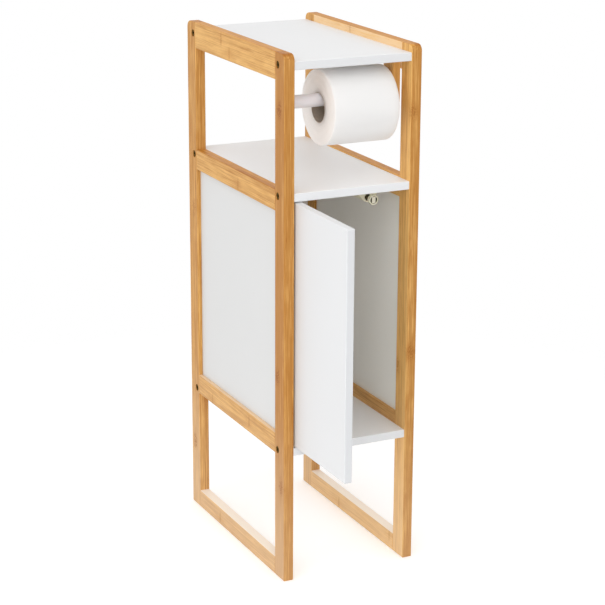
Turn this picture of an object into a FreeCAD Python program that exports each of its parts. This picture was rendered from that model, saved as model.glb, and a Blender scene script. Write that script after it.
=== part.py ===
"""Toilet paper stand: two bamboo side frames, white shelves, a small cabinet and a roll holder.

Millimetres, +Z up, +X to the stand's right, its front towards -Y. The origin is on the floor, at the
centre of the footprint of the two side frames. The door is modelled open, as it stands at rest.
"""
import FreeCAD, Part
import math
import os
from types import SimpleNamespace

import Sketcher

# Driving dimensions in millimetres, the door's angle in degrees, and the springs' turns as counts
SIZES = {
    # Side frames
    "frame_height": 780,
    "frame_width": 214,
    "frame_depth": 344,
    "stock_thickness": 16,
    "stock_round": 1.5,
    "upright_width": 31,
    "corner_radius": 10,
    "top_rail_height": 39,
    "mid_rail_height": 31,
    "mid_rail_drop": 194,
    "lower_rail_height": 31,
    "lower_rail_bottom": 192.5,
    "foot_rail_height": 28,
    # Dowels between rails and uprights
    "dowel_diameter": 6,
    "dowel_length": 30,
    "dowel_wall": 1,
    "outer_dowel_edge": 7,
    # Shelves
    "shelf_thickness": 12,
    "shelf_setback": 1.5,
    "shelf_round": 1.2,
    "top_shelf_drop": 11,
    "mid_shelf_drop": 2,
    "bottom_shelf_rise": 1.5,
    # Side panels and back panel
    "panel_thickness": 3,
    "panel_recess": 6.5,
    "panel_groove": 6,
    "back_thickness": 4,
    "back_inset": 8,
    "back_groove": 4,
    "groove_clearance": 0.2,
    "edge_clearance": 0.5,
    # Screws through the uprights into the shelves
    "screw_edge": 9,
    "screw_diameter": 5,
    "screw_reach": 35,
    "screw_head_diameter": 10.2,
    "screw_head_height": 4,
    "screw_head_sink": 1,
    "screw_sink_clearance": 0.4,
    "socket_flats": 4,
    "socket_depth": 2.5,
    # Roll brackets
    "bracket_thickness": 12,
    "bracket_width": 29,
    "bracket_height": 75,
    "bracket_setback": 34.5,
    "bracket_screw_spacing": 12,
    "bracket_screw_drop": 4,
    "bracket_screw_grip": 10,
    # Roller
    "roller_drop": 53.5,
    "roller_diameter": 19,
    "roller_tube_length": 100,
    "roller_cap": 3,
    "roller_pin_diameter": 8,
    "roller_pin_length": 8,
    "roller_end_gap": 0.5,
    "roller_wall": 1.35,
    "plug_wall": 1.3,
    "plug_length": 95,
    "plug_collar": 4,
    "roller_spring_wire": 1.2,
    "roller_spring_turns": 10,
    # Toilet roll
    "roll_diameter": 109,
    "roll_width": 102,
    "roll_side_gap": 8.5,
    "roll_round": 2,
    "core_diameter": 44,
    "core_wall": 1,
    # Door and its pivots
    "door_thickness": 12,
    "door_recess": 9,
    "door_gap": 2,
    "door_side_gap": 2.5,
    "door_round": 1.5,
    "door_open_angle": 90,
    "pivot_diameter": 4.5,
    "pivot_in_door": 18,
    "bush_depth": 3,
    "bush_diameter": 8,
    "bush_flange_diameter": 14,
    # Strike plate on the door
    "strike_diameter": 16,
    "strike_thickness": 1.2,
    "strike_screw_diameter": 3,
    "strike_screw_head": 5.5,
    "strike_screw_length": 9,
    # Push latch under the mid shelf
    "latch_inset": 45.5,
    "latch_drop": 15.5,
    "latch_head_diameter": 14.4,
    "latch_head_thickness": 6,
    "latch_head_round": 0.8,
    "latch_neck": 12.5,
    "latch_stem_diameter": 6,
    "latch_head_web": 1,
    "latch_collar": 3,
    "latch_nub": 4,
    "latch_head_rim": 1.6,
    "magnet_recess_depth": 3,
    "magnet_width": 5.6,
    "magnet_end_gap": 0.9,
    "magnet_setback": 0.2,
    "barrel_diameter": 14.6,
    "barrel_length": 45,
    "mouth_diameter": 10,
    "mouth_depth": 8,
    "guide_length": 6,
    "barrel_wall": 1.8,
    "latch_cap_plug": 3,
    "latch_cap_flange": 1.5,
    "wing_thickness": 4,
    "flange_thickness": 3,
    "flange_length": 30,
    "web_thickness": 6,
    "latch_screw_spacing": 40,
    "latch_screw_setback": 18,
    "latch_screw_grip": 8,
    "latch_spring_wire": 0.9,
    "latch_spring_turns": 8,
    # Small wood screws of the brackets and the latch
    "wood_screw_diameter": 3.4,
    "wood_screw_head_diameter": 6.5,
    "wood_screw_head_height": 2.2,
    # Fits, all on the radius or on one face
    "running_fit": 0.05,
    "snug_fit": 0.05,
    "seat_gap": 0.3,
    "spring_clearance": 0.4,
    "hole_end_clearance": 1,
    "cut_overrun": 1,
}

# Where a line at 45 degrees touches a circle, as a share of its radius
TANGENT_SHARE = math.sqrt(0.5)
# A hexagon's corner, from its centre, as a share of its width across the flats
HEX_CORNER_SHARE = math.sqrt(1 / 3)

SHEET_NAME = "sizes"
SIDES = ("left", "right")
ENDS = ("front", "rear")
START_INDEX, END_INDEX, CENTRE_INDEX = 1, 2, 3
ORIGIN_INDEX, H_AXIS_INDEX, V_AXIS_INDEX = -1, -1, -2
FULL_TURN = 360
HALF_TURN = 180
SAME_LENGTH = 1e-6
UP = FreeCAD.Vector(0, 0, 1)

doc = FreeCAD.newDocument("toilet_paper_stand")
parts = []


class Size:
    """A length with its number, and with the text that works it out from the sheet's cells."""

    def __init__(self, number, text):
        self.number = number
        self.text = text

    def __add__(self, other):
        other = as_size(other)
        return Size(self.number + other.number, f"({self.text} + {other.text})")

    def __sub__(self, other):
        other = as_size(other)
        return Size(self.number - other.number, f"({self.text} - {other.text})")

    def __mul__(self, factor):
        factor = as_size(factor)
        return Size(self.number * factor.number, f"({self.text} * {factor.text})")

    def __truediv__(self, divisor):
        divisor = as_size(divisor)
        return Size(self.number / divisor.number, f"({self.text} / {divisor.text})")

    def __neg__(self):
        return as_size(0) - self


def as_size(value):
    """The value itself if it is a Size, and otherwise a plain number as one."""
    if isinstance(value, Size):
        return value
    return Size(float(value), repr(float(value)))


def make_sheet():
    """The spreadsheet of driving dimensions, and every cell as a Size under its alias."""
    sheet = doc.addObject("Spreadsheet::Sheet", SHEET_NAME)
    for row, (alias, value) in enumerate(SIZES.items(), start=1):
        sheet.set(f"A{row}", alias)
        sheet.set(f"B{row}", str(value))
        sheet.setAlias(f"B{row}", alias)
    doc.recompute()
    return SimpleNamespace(**{name: Size(float(sheet.get(name)), f"{SHEET_NAME}.{name}") for name in SIZES})


def bind(thing, path, size):
    """Ties a property to the sheet, or leaves it alone where the size is a plain zero."""
    if isinstance(size, Size):
        thing.setExpression(path, size.text)


def place(thing, x, y, z, angle=0, axis=UP):
    """Puts a sub-part at a point tied to the sheet, turned by an angle about an axis."""
    numbers = [as_size(size).number for size in (x, y, z)]
    turn = FreeCAD.Rotation(axis, as_size(angle).number)
    thing.Placement = FreeCAD.Placement(FreeCAD.Vector(*numbers), turn)
    for letter, size in zip("xyz", (x, y, z)):
        bind(thing, f"Placement.Base.{letter}", size)
    bind(thing, "Placement.Rotation.Angle", angle)


def keep(thing, label):
    """Names a sub-part and puts it on the list of those that are written out."""
    thing.Label = label
    parts.append(thing)
    return thing


# Sketches and the features made from them

def new_body(label):
    return doc.addObject("PartDesign::Body", label)


def new_sketch(body, role, across=0, up=0, out=0):
    """A sketch on one of the body's origin planes, moved across, up and out along the plane's normal."""
    sketch = body.newObject("Sketcher::SketchObject", "sketch")
    plane = next(feature for feature in body.Origin.OriginFeatures if feature.Role == role)
    sketch.AttachmentSupport = (plane, "")
    sketch.MapMode = "FlatFace"
    for letter, size in zip("xyz", (across, up, out)):
        bind(sketch, f"AttachmentOffset.Base.{letter}", size)
    return sketch


def tie_point(sketch, geometry, point, x, y):
    """Ties a point to the sketch's origin, or to an axis where the distance is a plain zero."""
    for kind, size, axis in (("DistanceX", x, V_AXIS_INDEX), ("DistanceY", y, H_AXIS_INDEX)):
        if isinstance(size, Size):
            constraint = Sketcher.Constraint(kind, ORIGIN_INDEX, START_INDEX, geometry, point, size.number)
            index = sketch.addConstraint(constraint)
            bind(sketch, f"Constraints[{index}]", size)
        else:
            sketch.addConstraint(Sketcher.Constraint("PointOnObject", geometry, point, axis))


def add_polygon(sketch, points):
    """A closed outline of straight lines through points tied to the sheet."""
    corners = [FreeCAD.Vector(as_size(x).number, as_size(y).number, 0) for x, y in points]
    ends = corners[1:] + corners[:1]
    lines = [sketch.addGeometry(Part.LineSegment(a, b), False) for a, b in zip(corners, ends)]
    for line, following in zip(lines, lines[1:] + lines[:1]):
        sketch.addConstraint(Sketcher.Constraint("Coincident", line, END_INDEX, following, START_INDEX))
    for line, (x, y) in zip(lines, points):
        tie_point(sketch, line, START_INDEX, x, y)


def add_rectangle(sketch, x_low, y_low, x_high, y_high):
    add_polygon(sketch, [(x_low, y_low), (x_high, y_low), (x_high, y_high), (x_low, y_high)])


def add_circle(sketch, x, y, diameter):
    centre = FreeCAD.Vector(as_size(x).number, as_size(y).number, 0)
    circle = sketch.addGeometry(Part.Circle(centre, UP, diameter.number / 2), False)
    tie_point(sketch, circle, CENTRE_INDEX, x, y)
    index = sketch.addConstraint(Sketcher.Constraint("Diameter", circle, diameter.number))
    bind(sketch, f"Constraints[{index}]", diameter)


def pad(body, sketch, length, backwards=False):
    """Raises a sketch along its plane's normal, or against it."""
    feature = body.newObject("PartDesign::Pad", "pad")
    feature.Profile = sketch
    bind(feature, "Length", length)
    feature.Reversed = backwards
    doc.recompute()
    return feature


def pocket(body, sketch, depth=None, backwards=False):
    """Cuts a sketch against its plane's normal, or along it, and right through without a depth."""
    before = body.Shape.Volume
    feature = body.newObject("PartDesign::Pocket", "pocket")
    feature.Profile = sketch
    feature.Reversed = backwards
    if depth is None:
        feature.Type = "ThroughAll"
    bind(feature, "Length", depth)
    doc.recompute()
    if feature.Shape.Volume >= before:
        raise RuntimeError(f"a pocket of {body.Label} cuts nothing")
    return feature


def revolve(body, sketch, axis):
    feature = body.newObject("PartDesign::Revolution", "turned")
    feature.Profile = sketch
    feature.ReferenceAxis = (sketch, [axis])
    feature.Angle = FULL_TURN
    doc.recompute()
    return feature


def round_edges(body, radius, chosen):
    """Fillets the edges of the body's last feature that the test chooses."""
    base = body.Tip
    names = [f"Edge{i}" for i, edge in enumerate(base.Shape.Edges, start=1) if chosen(edge)]
    feature = body.newObject("PartDesign::Fillet", "rounded")
    feature.Base = (base, names)
    bind(feature, "Radius", radius)
    doc.recompute()
    return feature


def runs_along(edge, letter):
    """Whether an edge is straight along one axis."""
    box = edge.BoundBox
    spans = {"x": box.XLength, "y": box.YLength, "z": box.ZLength}
    return all(span < SAME_LENGTH for name, span in spans.items() if name != letter)


def turned_body(label, role, points, axis, across=0, up=0, out=0):
    """A body turned about a sketch axis, from an outline in that sketch."""
    body = new_body(label)
    sketch = new_sketch(body, role, across, up, out)
    add_polygon(sketch, points)
    revolve(body, sketch, axis)
    return body


def group(label, template, placements):
    """Copies of one template at several places, as separate solids of one sub-part."""
    doc.recompute()
    copies = []
    for placement in placements:
        solid = template.Shape.copy()
        solid.Placement = placement.multiply(template.Placement)
        copies.append(solid)
    feature = doc.addObject("Part::Feature", label)
    feature.Shape = Part.makeCompound(copies)
    return keep(feature, label)


def placement_at(x, y, z, axis=UP, angle=0):
    numbers = [as_size(size).number for size in (x, y, z)]
    return FreeCAD.Placement(FreeCAD.Vector(*numbers), FreeCAD.Rotation(axis, angle))


size = make_sheet()

# Heights, widths and places that several sub-parts share
inner_width = size.frame_width - size.stock_thickness * 2
half_width = size.frame_width / 2
half_inner = inner_width / 2
half_depth = size.frame_depth / 2
rail_length = size.frame_depth - size.upright_width * 2
top_rail_bottom = size.frame_height - size.top_rail_height
mid_rail_top = size.frame_height - size.mid_rail_drop
mid_rail_bottom = mid_rail_top - size.mid_rail_height
lower_rail_top = size.lower_rail_bottom + size.lower_rail_height

shelf_depth = size.frame_depth - size.shelf_setback * 2
shelf_front = size.shelf_setback - half_depth
top_shelf_bottom = size.frame_height - size.top_shelf_drop - size.shelf_thickness
mid_shelf_bottom = mid_rail_top - size.mid_shelf_drop - size.shelf_thickness
bottom_shelf_bottom = size.lower_rail_bottom + size.bottom_shelf_rise
bottom_shelf_top = bottom_shelf_bottom + size.shelf_thickness
shelf_bottoms = {"top": top_shelf_bottom, "mid": mid_shelf_bottom, "bottom": bottom_shelf_bottom}
screw_inset = size.upright_width - size.screw_edge
screw_heights = [bottom + size.shelf_thickness / 2 for bottom in shelf_bottoms.values()]

panel_cut = size.panel_thickness + size.groove_clearance * 2
panel_bottom = lower_rail_top - size.panel_groove
panel_top = mid_rail_bottom + size.panel_groove
back_cut = size.back_thickness + size.groove_clearance * 2
back_bottom = bottom_shelf_top - size.back_groove
back_top = mid_shelf_bottom + size.back_groove
back_rear = half_depth - size.back_inset

roller_y = size.bracket_setback + size.bracket_width / 2 - half_depth
roller_z = top_shelf_bottom - size.roller_drop
plug_diameter = size.roller_diameter - (size.roller_wall + size.running_fit) * 2
roll_z = roller_z + size.roller_diameter / 2 + size.seat_gap + size.core_wall - size.core_diameter / 2
bracket_face = half_inner - size.bracket_thickness
roller_end = bracket_face - size.roller_end_gap
roll_x = bracket_face - size.roll_side_gap - size.roll_width / 2

pivot_inset = size.door_side_gap + size.door_thickness / 2
pivot_x = pivot_inset - half_inner
pivot_y = size.door_recess + size.door_thickness / 2 - half_depth
door_bottom = bottom_shelf_top + size.door_gap
door_height = mid_shelf_bottom - bottom_shelf_top - size.door_gap * 2
door_width = inner_width - size.door_side_gap * 2
bush_flange = size.door_gap - size.seat_gap

latch_x = half_inner - size.latch_inset
latch_z = mid_shelf_bottom - size.latch_drop
closed_face_y = pivot_y + size.door_thickness / 2
latch_tip_y = closed_face_y + size.strike_thickness + size.seat_gap
latch_mouth_y = latch_tip_y + size.latch_head_thickness + size.latch_neck
chamber_diameter = size.barrel_diameter - size.barrel_wall * 2


# Side frames

def make_upright(side, end):
    """One full-height post. Its local x is across the stock, y from its outer edge and z from the floor."""
    label = f"{side}_{end}_upright"
    outer_is_far = (side == "left") == (end == "rear")
    body = new_body(label)
    outline = new_sketch(body, "YZ_Plane")
    add_rectangle(outline, 0, 0, size.upright_width, size.frame_height)
    pad(body, outline, size.stock_thickness)
    top = size.frame_height.number
    round_edges(body, size.corner_radius, lambda edge: is_top_outer_corner(edge, top))
    round_edges(body, size.stock_round, lambda edge: not runs_along(edge, "x"))
    cut_screw_holes(body, outer_is_far)
    cut_dowel_sockets(body)
    cut_panel_groove(body, outer_is_far)
    if end == "rear":
        cut_back_groove(body, outer_is_far)
    if end == "front":
        place(body, -half_width if side == "left" else half_inner, -half_depth, 0)
    else:
        place(body, -half_inner if side == "left" else half_width, half_depth, 0, HALF_TURN)
    return keep(body, label)


def is_top_outer_corner(edge, top):
    box = edge.BoundBox
    return runs_along(edge, "x") and abs(box.ZMax - top) < SAME_LENGTH and abs(box.YMax) < SAME_LENGTH


def cut_screw_holes(body, outer_is_far):
    """Through holes for the shelf screws, and the round sinks for their heads in the outer face."""
    holes = new_sketch(body, "YZ_Plane")
    sinks = new_sketch(body, "YZ_Plane", out=size.stock_thickness if outer_is_far else 0)
    for height in screw_heights:
        add_circle(holes, screw_inset, height, size.screw_diameter + size.snug_fit * 2)
        add_circle(sinks, screw_inset, height, size.screw_head_diameter + size.screw_sink_clearance * 2)
    pocket(body, holes, backwards=True)
    pocket(body, sinks, size.screw_head_height + size.screw_head_sink, backwards=not outer_is_far)


def dowel_heights():
    """Heights of the dowels over the floor, one for each rail, clear of the panel grooves and the screws."""
    past_groove = size.panel_groove + size.dowel_wall + size.dowel_diameter / 2
    return {
        "top": size.frame_height - size.outer_dowel_edge,
        "mid": mid_rail_bottom + past_groove,
        "lower": lower_rail_top - past_groove,
        "foot": size.outer_dowel_edge,
    }


def cut_dowel_sockets(body):
    sockets = new_sketch(body, "XZ_Plane", out=-size.upright_width)
    for height in dowel_heights().values():
        add_circle(sockets, size.stock_thickness / 2, height, size.dowel_diameter + size.snug_fit * 2)
    pocket(body, sockets, size.dowel_length / 2 + size.hole_end_clearance, backwards=True)


def cut_panel_groove(body, outer_is_far):
    """The groove in the inner edge that takes the side panel's upright edge."""
    low = size.panel_recess - size.groove_clearance
    if outer_is_far:
        low = size.stock_thickness - low - panel_cut
    groove = new_sketch(body, "XZ_Plane", out=-size.upright_width)
    add_rectangle(groove, low, panel_bottom, low + panel_cut, panel_top)
    pocket(body, groove, size.panel_groove, backwards=True)


def cut_back_groove(body, outer_is_far):
    """The groove in a rear upright's inner face that takes the back panel's edge."""
    low = size.back_inset - size.groove_clearance
    groove = new_sketch(body, "YZ_Plane", out=0 if outer_is_far else size.stock_thickness)
    add_rectangle(groove, low, back_bottom, low + back_cut, back_top)
    pocket(body, groove, size.back_groove, backwards=outer_is_far)


def make_rail(side, name, bottom, height, groove):
    """One rail between the uprights. Local x is from the outer face, y along it, z from its underside."""
    label = f"{side}_{name}_rail"
    body = new_body(label)
    section = new_sketch(body, "XZ_Plane")
    add_rectangle(section, 0, 0, size.stock_thickness, height)
    pad(body, section, rail_length, backwards=True)
    round_edges(body, size.stock_round, lambda edge: runs_along(edge, "y"))
    socket_height = dowel_heights()[name] - bottom
    for out, backwards in ((0, False), (-rail_length, True)):
        socket = new_sketch(body, "XZ_Plane", out=out)
        diameter = size.dowel_diameter + size.snug_fit * 2
        add_circle(socket, size.stock_thickness / 2, socket_height, diameter)
        pocket(body, socket, size.dowel_length / 2 + size.hole_end_clearance, backwards)
    if groove:
        cut_rail_groove(body, height, groove)
    if side == "left":
        place(body, -half_width, size.upright_width - half_depth, bottom)
    else:
        place(body, half_width, half_depth - size.upright_width, bottom, HALF_TURN)
    return keep(body, label)


def cut_rail_groove(body, height, groove):
    """The groove along a rail's top or underside that takes the side panel's level edge."""
    if groove == "top":
        low, high = height - size.panel_groove, height + size.cut_overrun
    else:
        low, high = -size.cut_overrun, size.panel_groove
    left = size.panel_recess - size.groove_clearance
    sketch = new_sketch(body, "XZ_Plane")
    add_rectangle(sketch, left, low, left + panel_cut, high)
    pocket(body, sketch)


def make_rails(side):
    make_rail(side, "top", top_rail_bottom, size.top_rail_height, None)
    make_rail(side, "mid", mid_rail_bottom, size.mid_rail_height, "underside")
    make_rail(side, "lower", size.lower_rail_bottom, size.lower_rail_height, "top")
    make_rail(side, "foot", as_size(0), size.foot_rail_height, None)


def make_side_panel(side):
    """The white board in a side frame's grooves. It stands on the lower rail's groove."""
    panel = doc.addObject("Part::Box", f"{side}_side_panel")
    reach = size.panel_groove - size.edge_clearance
    bind(panel, "Length", size.panel_thickness)
    bind(panel, "Width", rail_length + reach * 2)
    bind(panel, "Height", panel_top - panel_bottom - size.edge_clearance)
    x = size.panel_recess - half_width
    if side == "right":
        x = half_width - size.panel_recess - size.panel_thickness
    place(panel, x, -(rail_length / 2 + reach), panel_bottom)
    return keep(panel, f"{side}_side_panel")


def make_dowels(side, template):
    sign = -1 if side == "left" else 1
    x = (half_width - size.stock_thickness / 2) * sign
    joint = rail_length / 2
    places = []
    for height in dowel_heights().values():
        for y in (-joint, joint):
            places.append(placement_at(x, y - size.dowel_length / 2, height))
    return group(f"{side}_rail_dowels", template, places)


def make_dowel():
    dowel = doc.addObject("Part::Cylinder", "dowel")
    bind(dowel, "Radius", size.dowel_diameter / 2)
    bind(dowel, "Height", size.dowel_length)
    dowel.Placement.Rotation = FreeCAD.Rotation(FreeCAD.Vector(1, 0, 0), -FULL_TURN / 4)
    return dowel


# Shelves and back panel

def make_shelf(name):
    """One board between the side frames, with pilot holes in its ends for the screws."""
    body = new_body(f"{name}_shelf")
    outline = new_sketch(body, "XY_Plane")
    add_rectangle(outline, 0, 0, inner_width, shelf_depth)
    pad(body, outline, size.shelf_thickness)
    round_edges(body, size.shelf_round, lambda edge: runs_along(edge, "x"))
    first = screw_inset - size.shelf_setback
    for out, backwards in ((0, True), (inner_width, False)):
        holes = new_sketch(body, "YZ_Plane", out=out)
        for y in (first, shelf_depth - first):
            add_circle(holes, y, size.shelf_thickness / 2, size.screw_diameter + size.snug_fit * 2)
        pocket(body, holes, size.screw_reach + size.hole_end_clearance, backwards)
    place(body, -half_inner, shelf_front, shelf_bottoms[name])
    return keep(body, f"{name}_shelf")


def cut_cabinet_fittings(body, at_top):
    """The bush hole and the back panel's groove in the face of a shelf that looks into the cabinet."""
    out = size.shelf_thickness if at_top else 0
    bush_hole = new_sketch(body, "XY_Plane", out=out)
    diameter = size.bush_diameter + size.snug_fit * 2
    add_circle(bush_hole, pivot_inset, pivot_y - shelf_front, diameter)
    pocket(body, bush_hole, size.bush_depth + size.hole_end_clearance, backwards=not at_top)
    groove = new_sketch(body, "XY_Plane", out=out)
    rear = back_rear + size.groove_clearance - shelf_front
    add_rectangle(groove, -size.cut_overrun, rear - back_cut, inner_width + size.cut_overrun, rear)
    pocket(body, groove, size.back_groove, backwards=not at_top)


def cut_latch_pilots(body):
    pilots = new_sketch(body, "XY_Plane")
    for x in latch_screw_places():
        diameter = size.wood_screw_diameter + size.snug_fit * 2
        add_circle(pilots, x + half_inner, latch_screw_y() - shelf_front, diameter)
    pocket(body, pilots, size.latch_screw_grip + size.hole_end_clearance, backwards=True)


def make_back_panel():
    panel = doc.addObject("Part::Box", "back_panel")
    reach = size.back_groove - size.edge_clearance
    bind(panel, "Length", inner_width + reach * 2)
    bind(panel, "Width", size.back_thickness)
    bind(panel, "Height", back_top - back_bottom - size.edge_clearance)
    place(panel, -(half_inner + reach), back_rear - size.back_thickness, back_bottom)
    return keep(panel, "back_panel")


# Screws

def make_frame_screw():
    """Socket-head screw along x, its head's outer face at zero."""
    shank = size.screw_diameter / 2
    head = size.screw_head_diameter / 2
    neck = size.screw_head_height
    tip = size.stock_thickness - size.screw_head_sink + size.screw_reach
    outline = [(0, 0), (0, head), (neck, head), (neck, shank), (tip - shank, shank), (tip, 0)]
    body = turned_body("frame_screw", "XZ_Plane", outline, "H_Axis")
    socket = new_sketch(body, "YZ_Plane")
    add_hexagon(socket, size.socket_flats)
    pocket(body, socket, size.socket_depth, backwards=True)
    return body


def add_hexagon(sketch, flats):
    """A regular hexagon about the origin, two of its flats level."""
    half = flats / 2
    corner = flats * HEX_CORNER_SHARE
    points = [(corner, 0), (corner / 2, half), (-corner / 2, half)]
    points += [(-corner, 0), (-corner / 2, -half), (corner / 2, -half)]
    add_polygon(sketch, points)


def make_frame_screws(side, template):
    x = half_width - size.screw_head_sink
    inset = half_depth - screw_inset
    places = []
    for height in screw_heights:
        for y in (-inset, inset):
            if side == "left":
                places.append(placement_at(-x, y, height))
            else:
                places.append(placement_at(x, y, height, UP, HALF_TURN))
    return group(f"{side}_frame_screws", template, places)


def make_wood_screw(label, clamped, grip):
    """Small round-head screw along z, the underside of its head at zero."""
    shank = size.wood_screw_diameter / 2
    head = size.wood_screw_head_diameter / 2
    rise = size.wood_screw_head_height
    tip = clamped + grip
    outline = [(0, -rise), (head * TANGENT_SHARE, -rise), (head, -rise / 2), (head, 0)]
    outline += [(shank, 0), (shank, tip - shank), (0, tip)]
    return turned_body(label, "XZ_Plane", outline, "V_Axis")


# Roll holder

def make_bracket(side):
    """Bamboo drop bracket. Local x is from the face on the rail, y across it, z from its lower end."""
    label = f"{side}_roll_bracket"
    body = new_body(label)
    outline = new_sketch(body, "YZ_Plane")
    add_rectangle(outline, 0, 0, size.bracket_width, size.bracket_height)
    pad(body, outline, size.bracket_thickness)
    round_edges(body, size.corner_radius, is_bracket_corner)
    face = size.bracket_thickness.number
    round_edges(body, size.stock_round, lambda edge: is_on_bracket_face(edge, face))
    pin_hole = new_sketch(body, "YZ_Plane", out=size.bracket_thickness)
    middle = size.bracket_width / 2
    diameter = size.roller_pin_diameter + size.running_fit * 2
    add_circle(pin_hole, middle, size.bracket_height - size.roller_drop, diameter)
    pocket(body, pin_hole, size.roller_pin_length)
    holes = new_sketch(body, "YZ_Plane")
    screw_hole = size.wood_screw_diameter + size.snug_fit * 2
    for y in (middle - size.bracket_screw_spacing / 2, middle + size.bracket_screw_spacing / 2):
        add_circle(holes, y, bracket_screw_z() - bracket_bottom(), screw_hole)
    pocket(body, holes, backwards=True)
    front = size.bracket_setback - half_depth
    if side == "left":
        place(body, -half_inner, front, bracket_bottom())
    else:
        place(body, half_inner, front + size.bracket_width, bracket_bottom(), HALF_TURN)
    return keep(body, label)


def is_bracket_corner(edge):
    return runs_along(edge, "x") and edge.BoundBox.ZMax < SAME_LENGTH


def is_on_bracket_face(edge, face):
    """Whether an edge lies on the bracket's inner face, below the end that meets the shelf."""
    box = edge.BoundBox
    level_top = runs_along(edge, "y") and box.ZMin > SAME_LENGTH
    return abs(box.XMin - face) < SAME_LENGTH and not level_top


def bracket_bottom():
    return top_shelf_bottom - size.bracket_height


def bracket_screw_z():
    return top_shelf_bottom - size.bracket_screw_drop


def cut_bracket_pilots(rail, side):
    """Pilot holes for the bracket's screws in the inner face of a top rail."""
    pilots = new_sketch(rail, "YZ_Plane", out=size.stock_thickness)
    front = roller_y - size.upright_width + half_depth
    middle = front if side == "left" else rail_length - front
    for y in (middle - size.bracket_screw_spacing / 2, middle + size.bracket_screw_spacing / 2):
        diameter = size.wood_screw_diameter + size.snug_fit * 2
        add_circle(pilots, y, bracket_screw_z() - top_rail_bottom, diameter)
    pocket(rail, pilots, size.bracket_screw_grip + size.hole_end_clearance)


def make_bracket_screws():
    template = make_wood_screw("bracket_screw", size.bracket_thickness, size.bracket_screw_grip)
    across = FreeCAD.Vector(0, 1, 0)
    places = []
    for y in (roller_y - size.bracket_screw_spacing / 2, roller_y + size.bracket_screw_spacing / 2):
        places.append(placement_at(-bracket_face, y, bracket_screw_z(), across, -FULL_TURN / 4))
        places.append(placement_at(bracket_face, y, bracket_screw_z(), across, FULL_TURN / 4))
    return group("bracket_screws", template, places)


def make_roller_tube():
    """Outer half of the roller, with its closed end and pin at the left."""
    pin = size.roller_pin_diameter / 2
    outer = size.roller_diameter / 2
    bore = outer - size.roller_wall
    left = -roller_end
    pin_end = left - size.roller_pin_length
    right = left + size.roller_tube_length
    floor = left + size.roller_cap
    outline = [(pin_end, 0), (pin_end, pin), (left, pin), (left, outer), (right, outer), (right, bore)]
    outline += [(floor, bore), (floor, 0)]
    body = turned_body("roller_tube", "XZ_Plane", outline, "H_Axis")
    place(body, 0, roller_y, roller_z)
    return keep(body, "roller_tube")


def make_roller_plug():
    """Inner half of the roller, hollow, sliding in the tube, with its collar and pin at the right."""
    pin = size.roller_pin_diameter / 2
    collar = size.roller_diameter / 2
    outer = plug_diameter / 2
    bore = outer - size.plug_wall
    right = roller_end
    pin_end = right + size.roller_pin_length
    shoulder = right - size.plug_collar
    left = right - size.plug_length
    outline = [(pin_end, 0), (pin_end, pin), (right, pin), (right, collar), (shoulder, collar)]
    outline += [(shoulder, outer), (left, outer), (left, bore), (shoulder, bore), (shoulder, 0)]
    body = turned_body("roller_plug", "XZ_Plane", outline, "H_Axis")
    place(body, 0, roller_y, roller_z)
    return keep(body, "roller_plug")


def make_ring(label, inner, outer, length):
    """A ring about the x axis, centred on its own origin."""
    half = length / 2
    outline = [(-half, inner), (half, inner), (half, outer), (-half, outer)]
    return turned_body(label, "XZ_Plane", outline, "H_Axis")


def make_roll():
    core_outer = size.core_diameter / 2
    core = make_ring("roll_core", core_outer - size.core_wall, core_outer, size.roll_width)
    paper = make_ring("roll_paper", core_outer + size.snug_fit, size.roll_diameter / 2, size.roll_width)
    rim = size.roll_diameter.number / 2
    round_edges(paper, size.roll_round, lambda edge: is_rim(edge, rim))
    for body in (core, paper):
        place(body, roll_x, roller_y, roll_z)
        keep(body, body.Label)


def is_rim(edge, radius):
    curve = edge.Curve
    return isinstance(curve, Part.Circle) and abs(curve.Radius - radius) < SAME_LENGTH


# Door

def hang(thing):
    """Places a sub-part that is drawn about the door's pivot, with the door open."""
    place(thing, pivot_x, pivot_y, door_bottom, size.door_open_angle, -UP)


def make_door():
    """The door board, drawn closed about its pivot line: x towards its free edge, y inwards."""
    body = new_body("door_panel")
    half = size.door_thickness / 2
    outline = new_sketch(body, "XY_Plane")
    add_rectangle(outline, -half, -half, door_width - half, half)
    pad(body, outline, door_height)
    round_edges(body, size.door_round, lambda edge: True)
    hole = size.pivot_diameter + size.snug_fit * 2
    for out, backwards in ((0, True), (door_height, False)):
        sketch = new_sketch(body, "XY_Plane", out=out)
        add_circle(sketch, 0, 0, hole)
        pocket(body, sketch, size.pivot_in_door + size.hole_end_clearance, backwards)
    pilot = new_sketch(body, "XZ_Plane", out=-half)
    diameter = size.strike_screw_diameter + size.snug_fit * 2
    add_circle(pilot, strike_x(), strike_z(), diameter)
    pocket(body, pilot, size.strike_screw_length, backwards=True)
    hang(body)
    return keep(body, "door_panel")


def strike_x():
    return latch_x - pivot_x


def strike_z():
    return latch_z - door_bottom


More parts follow.
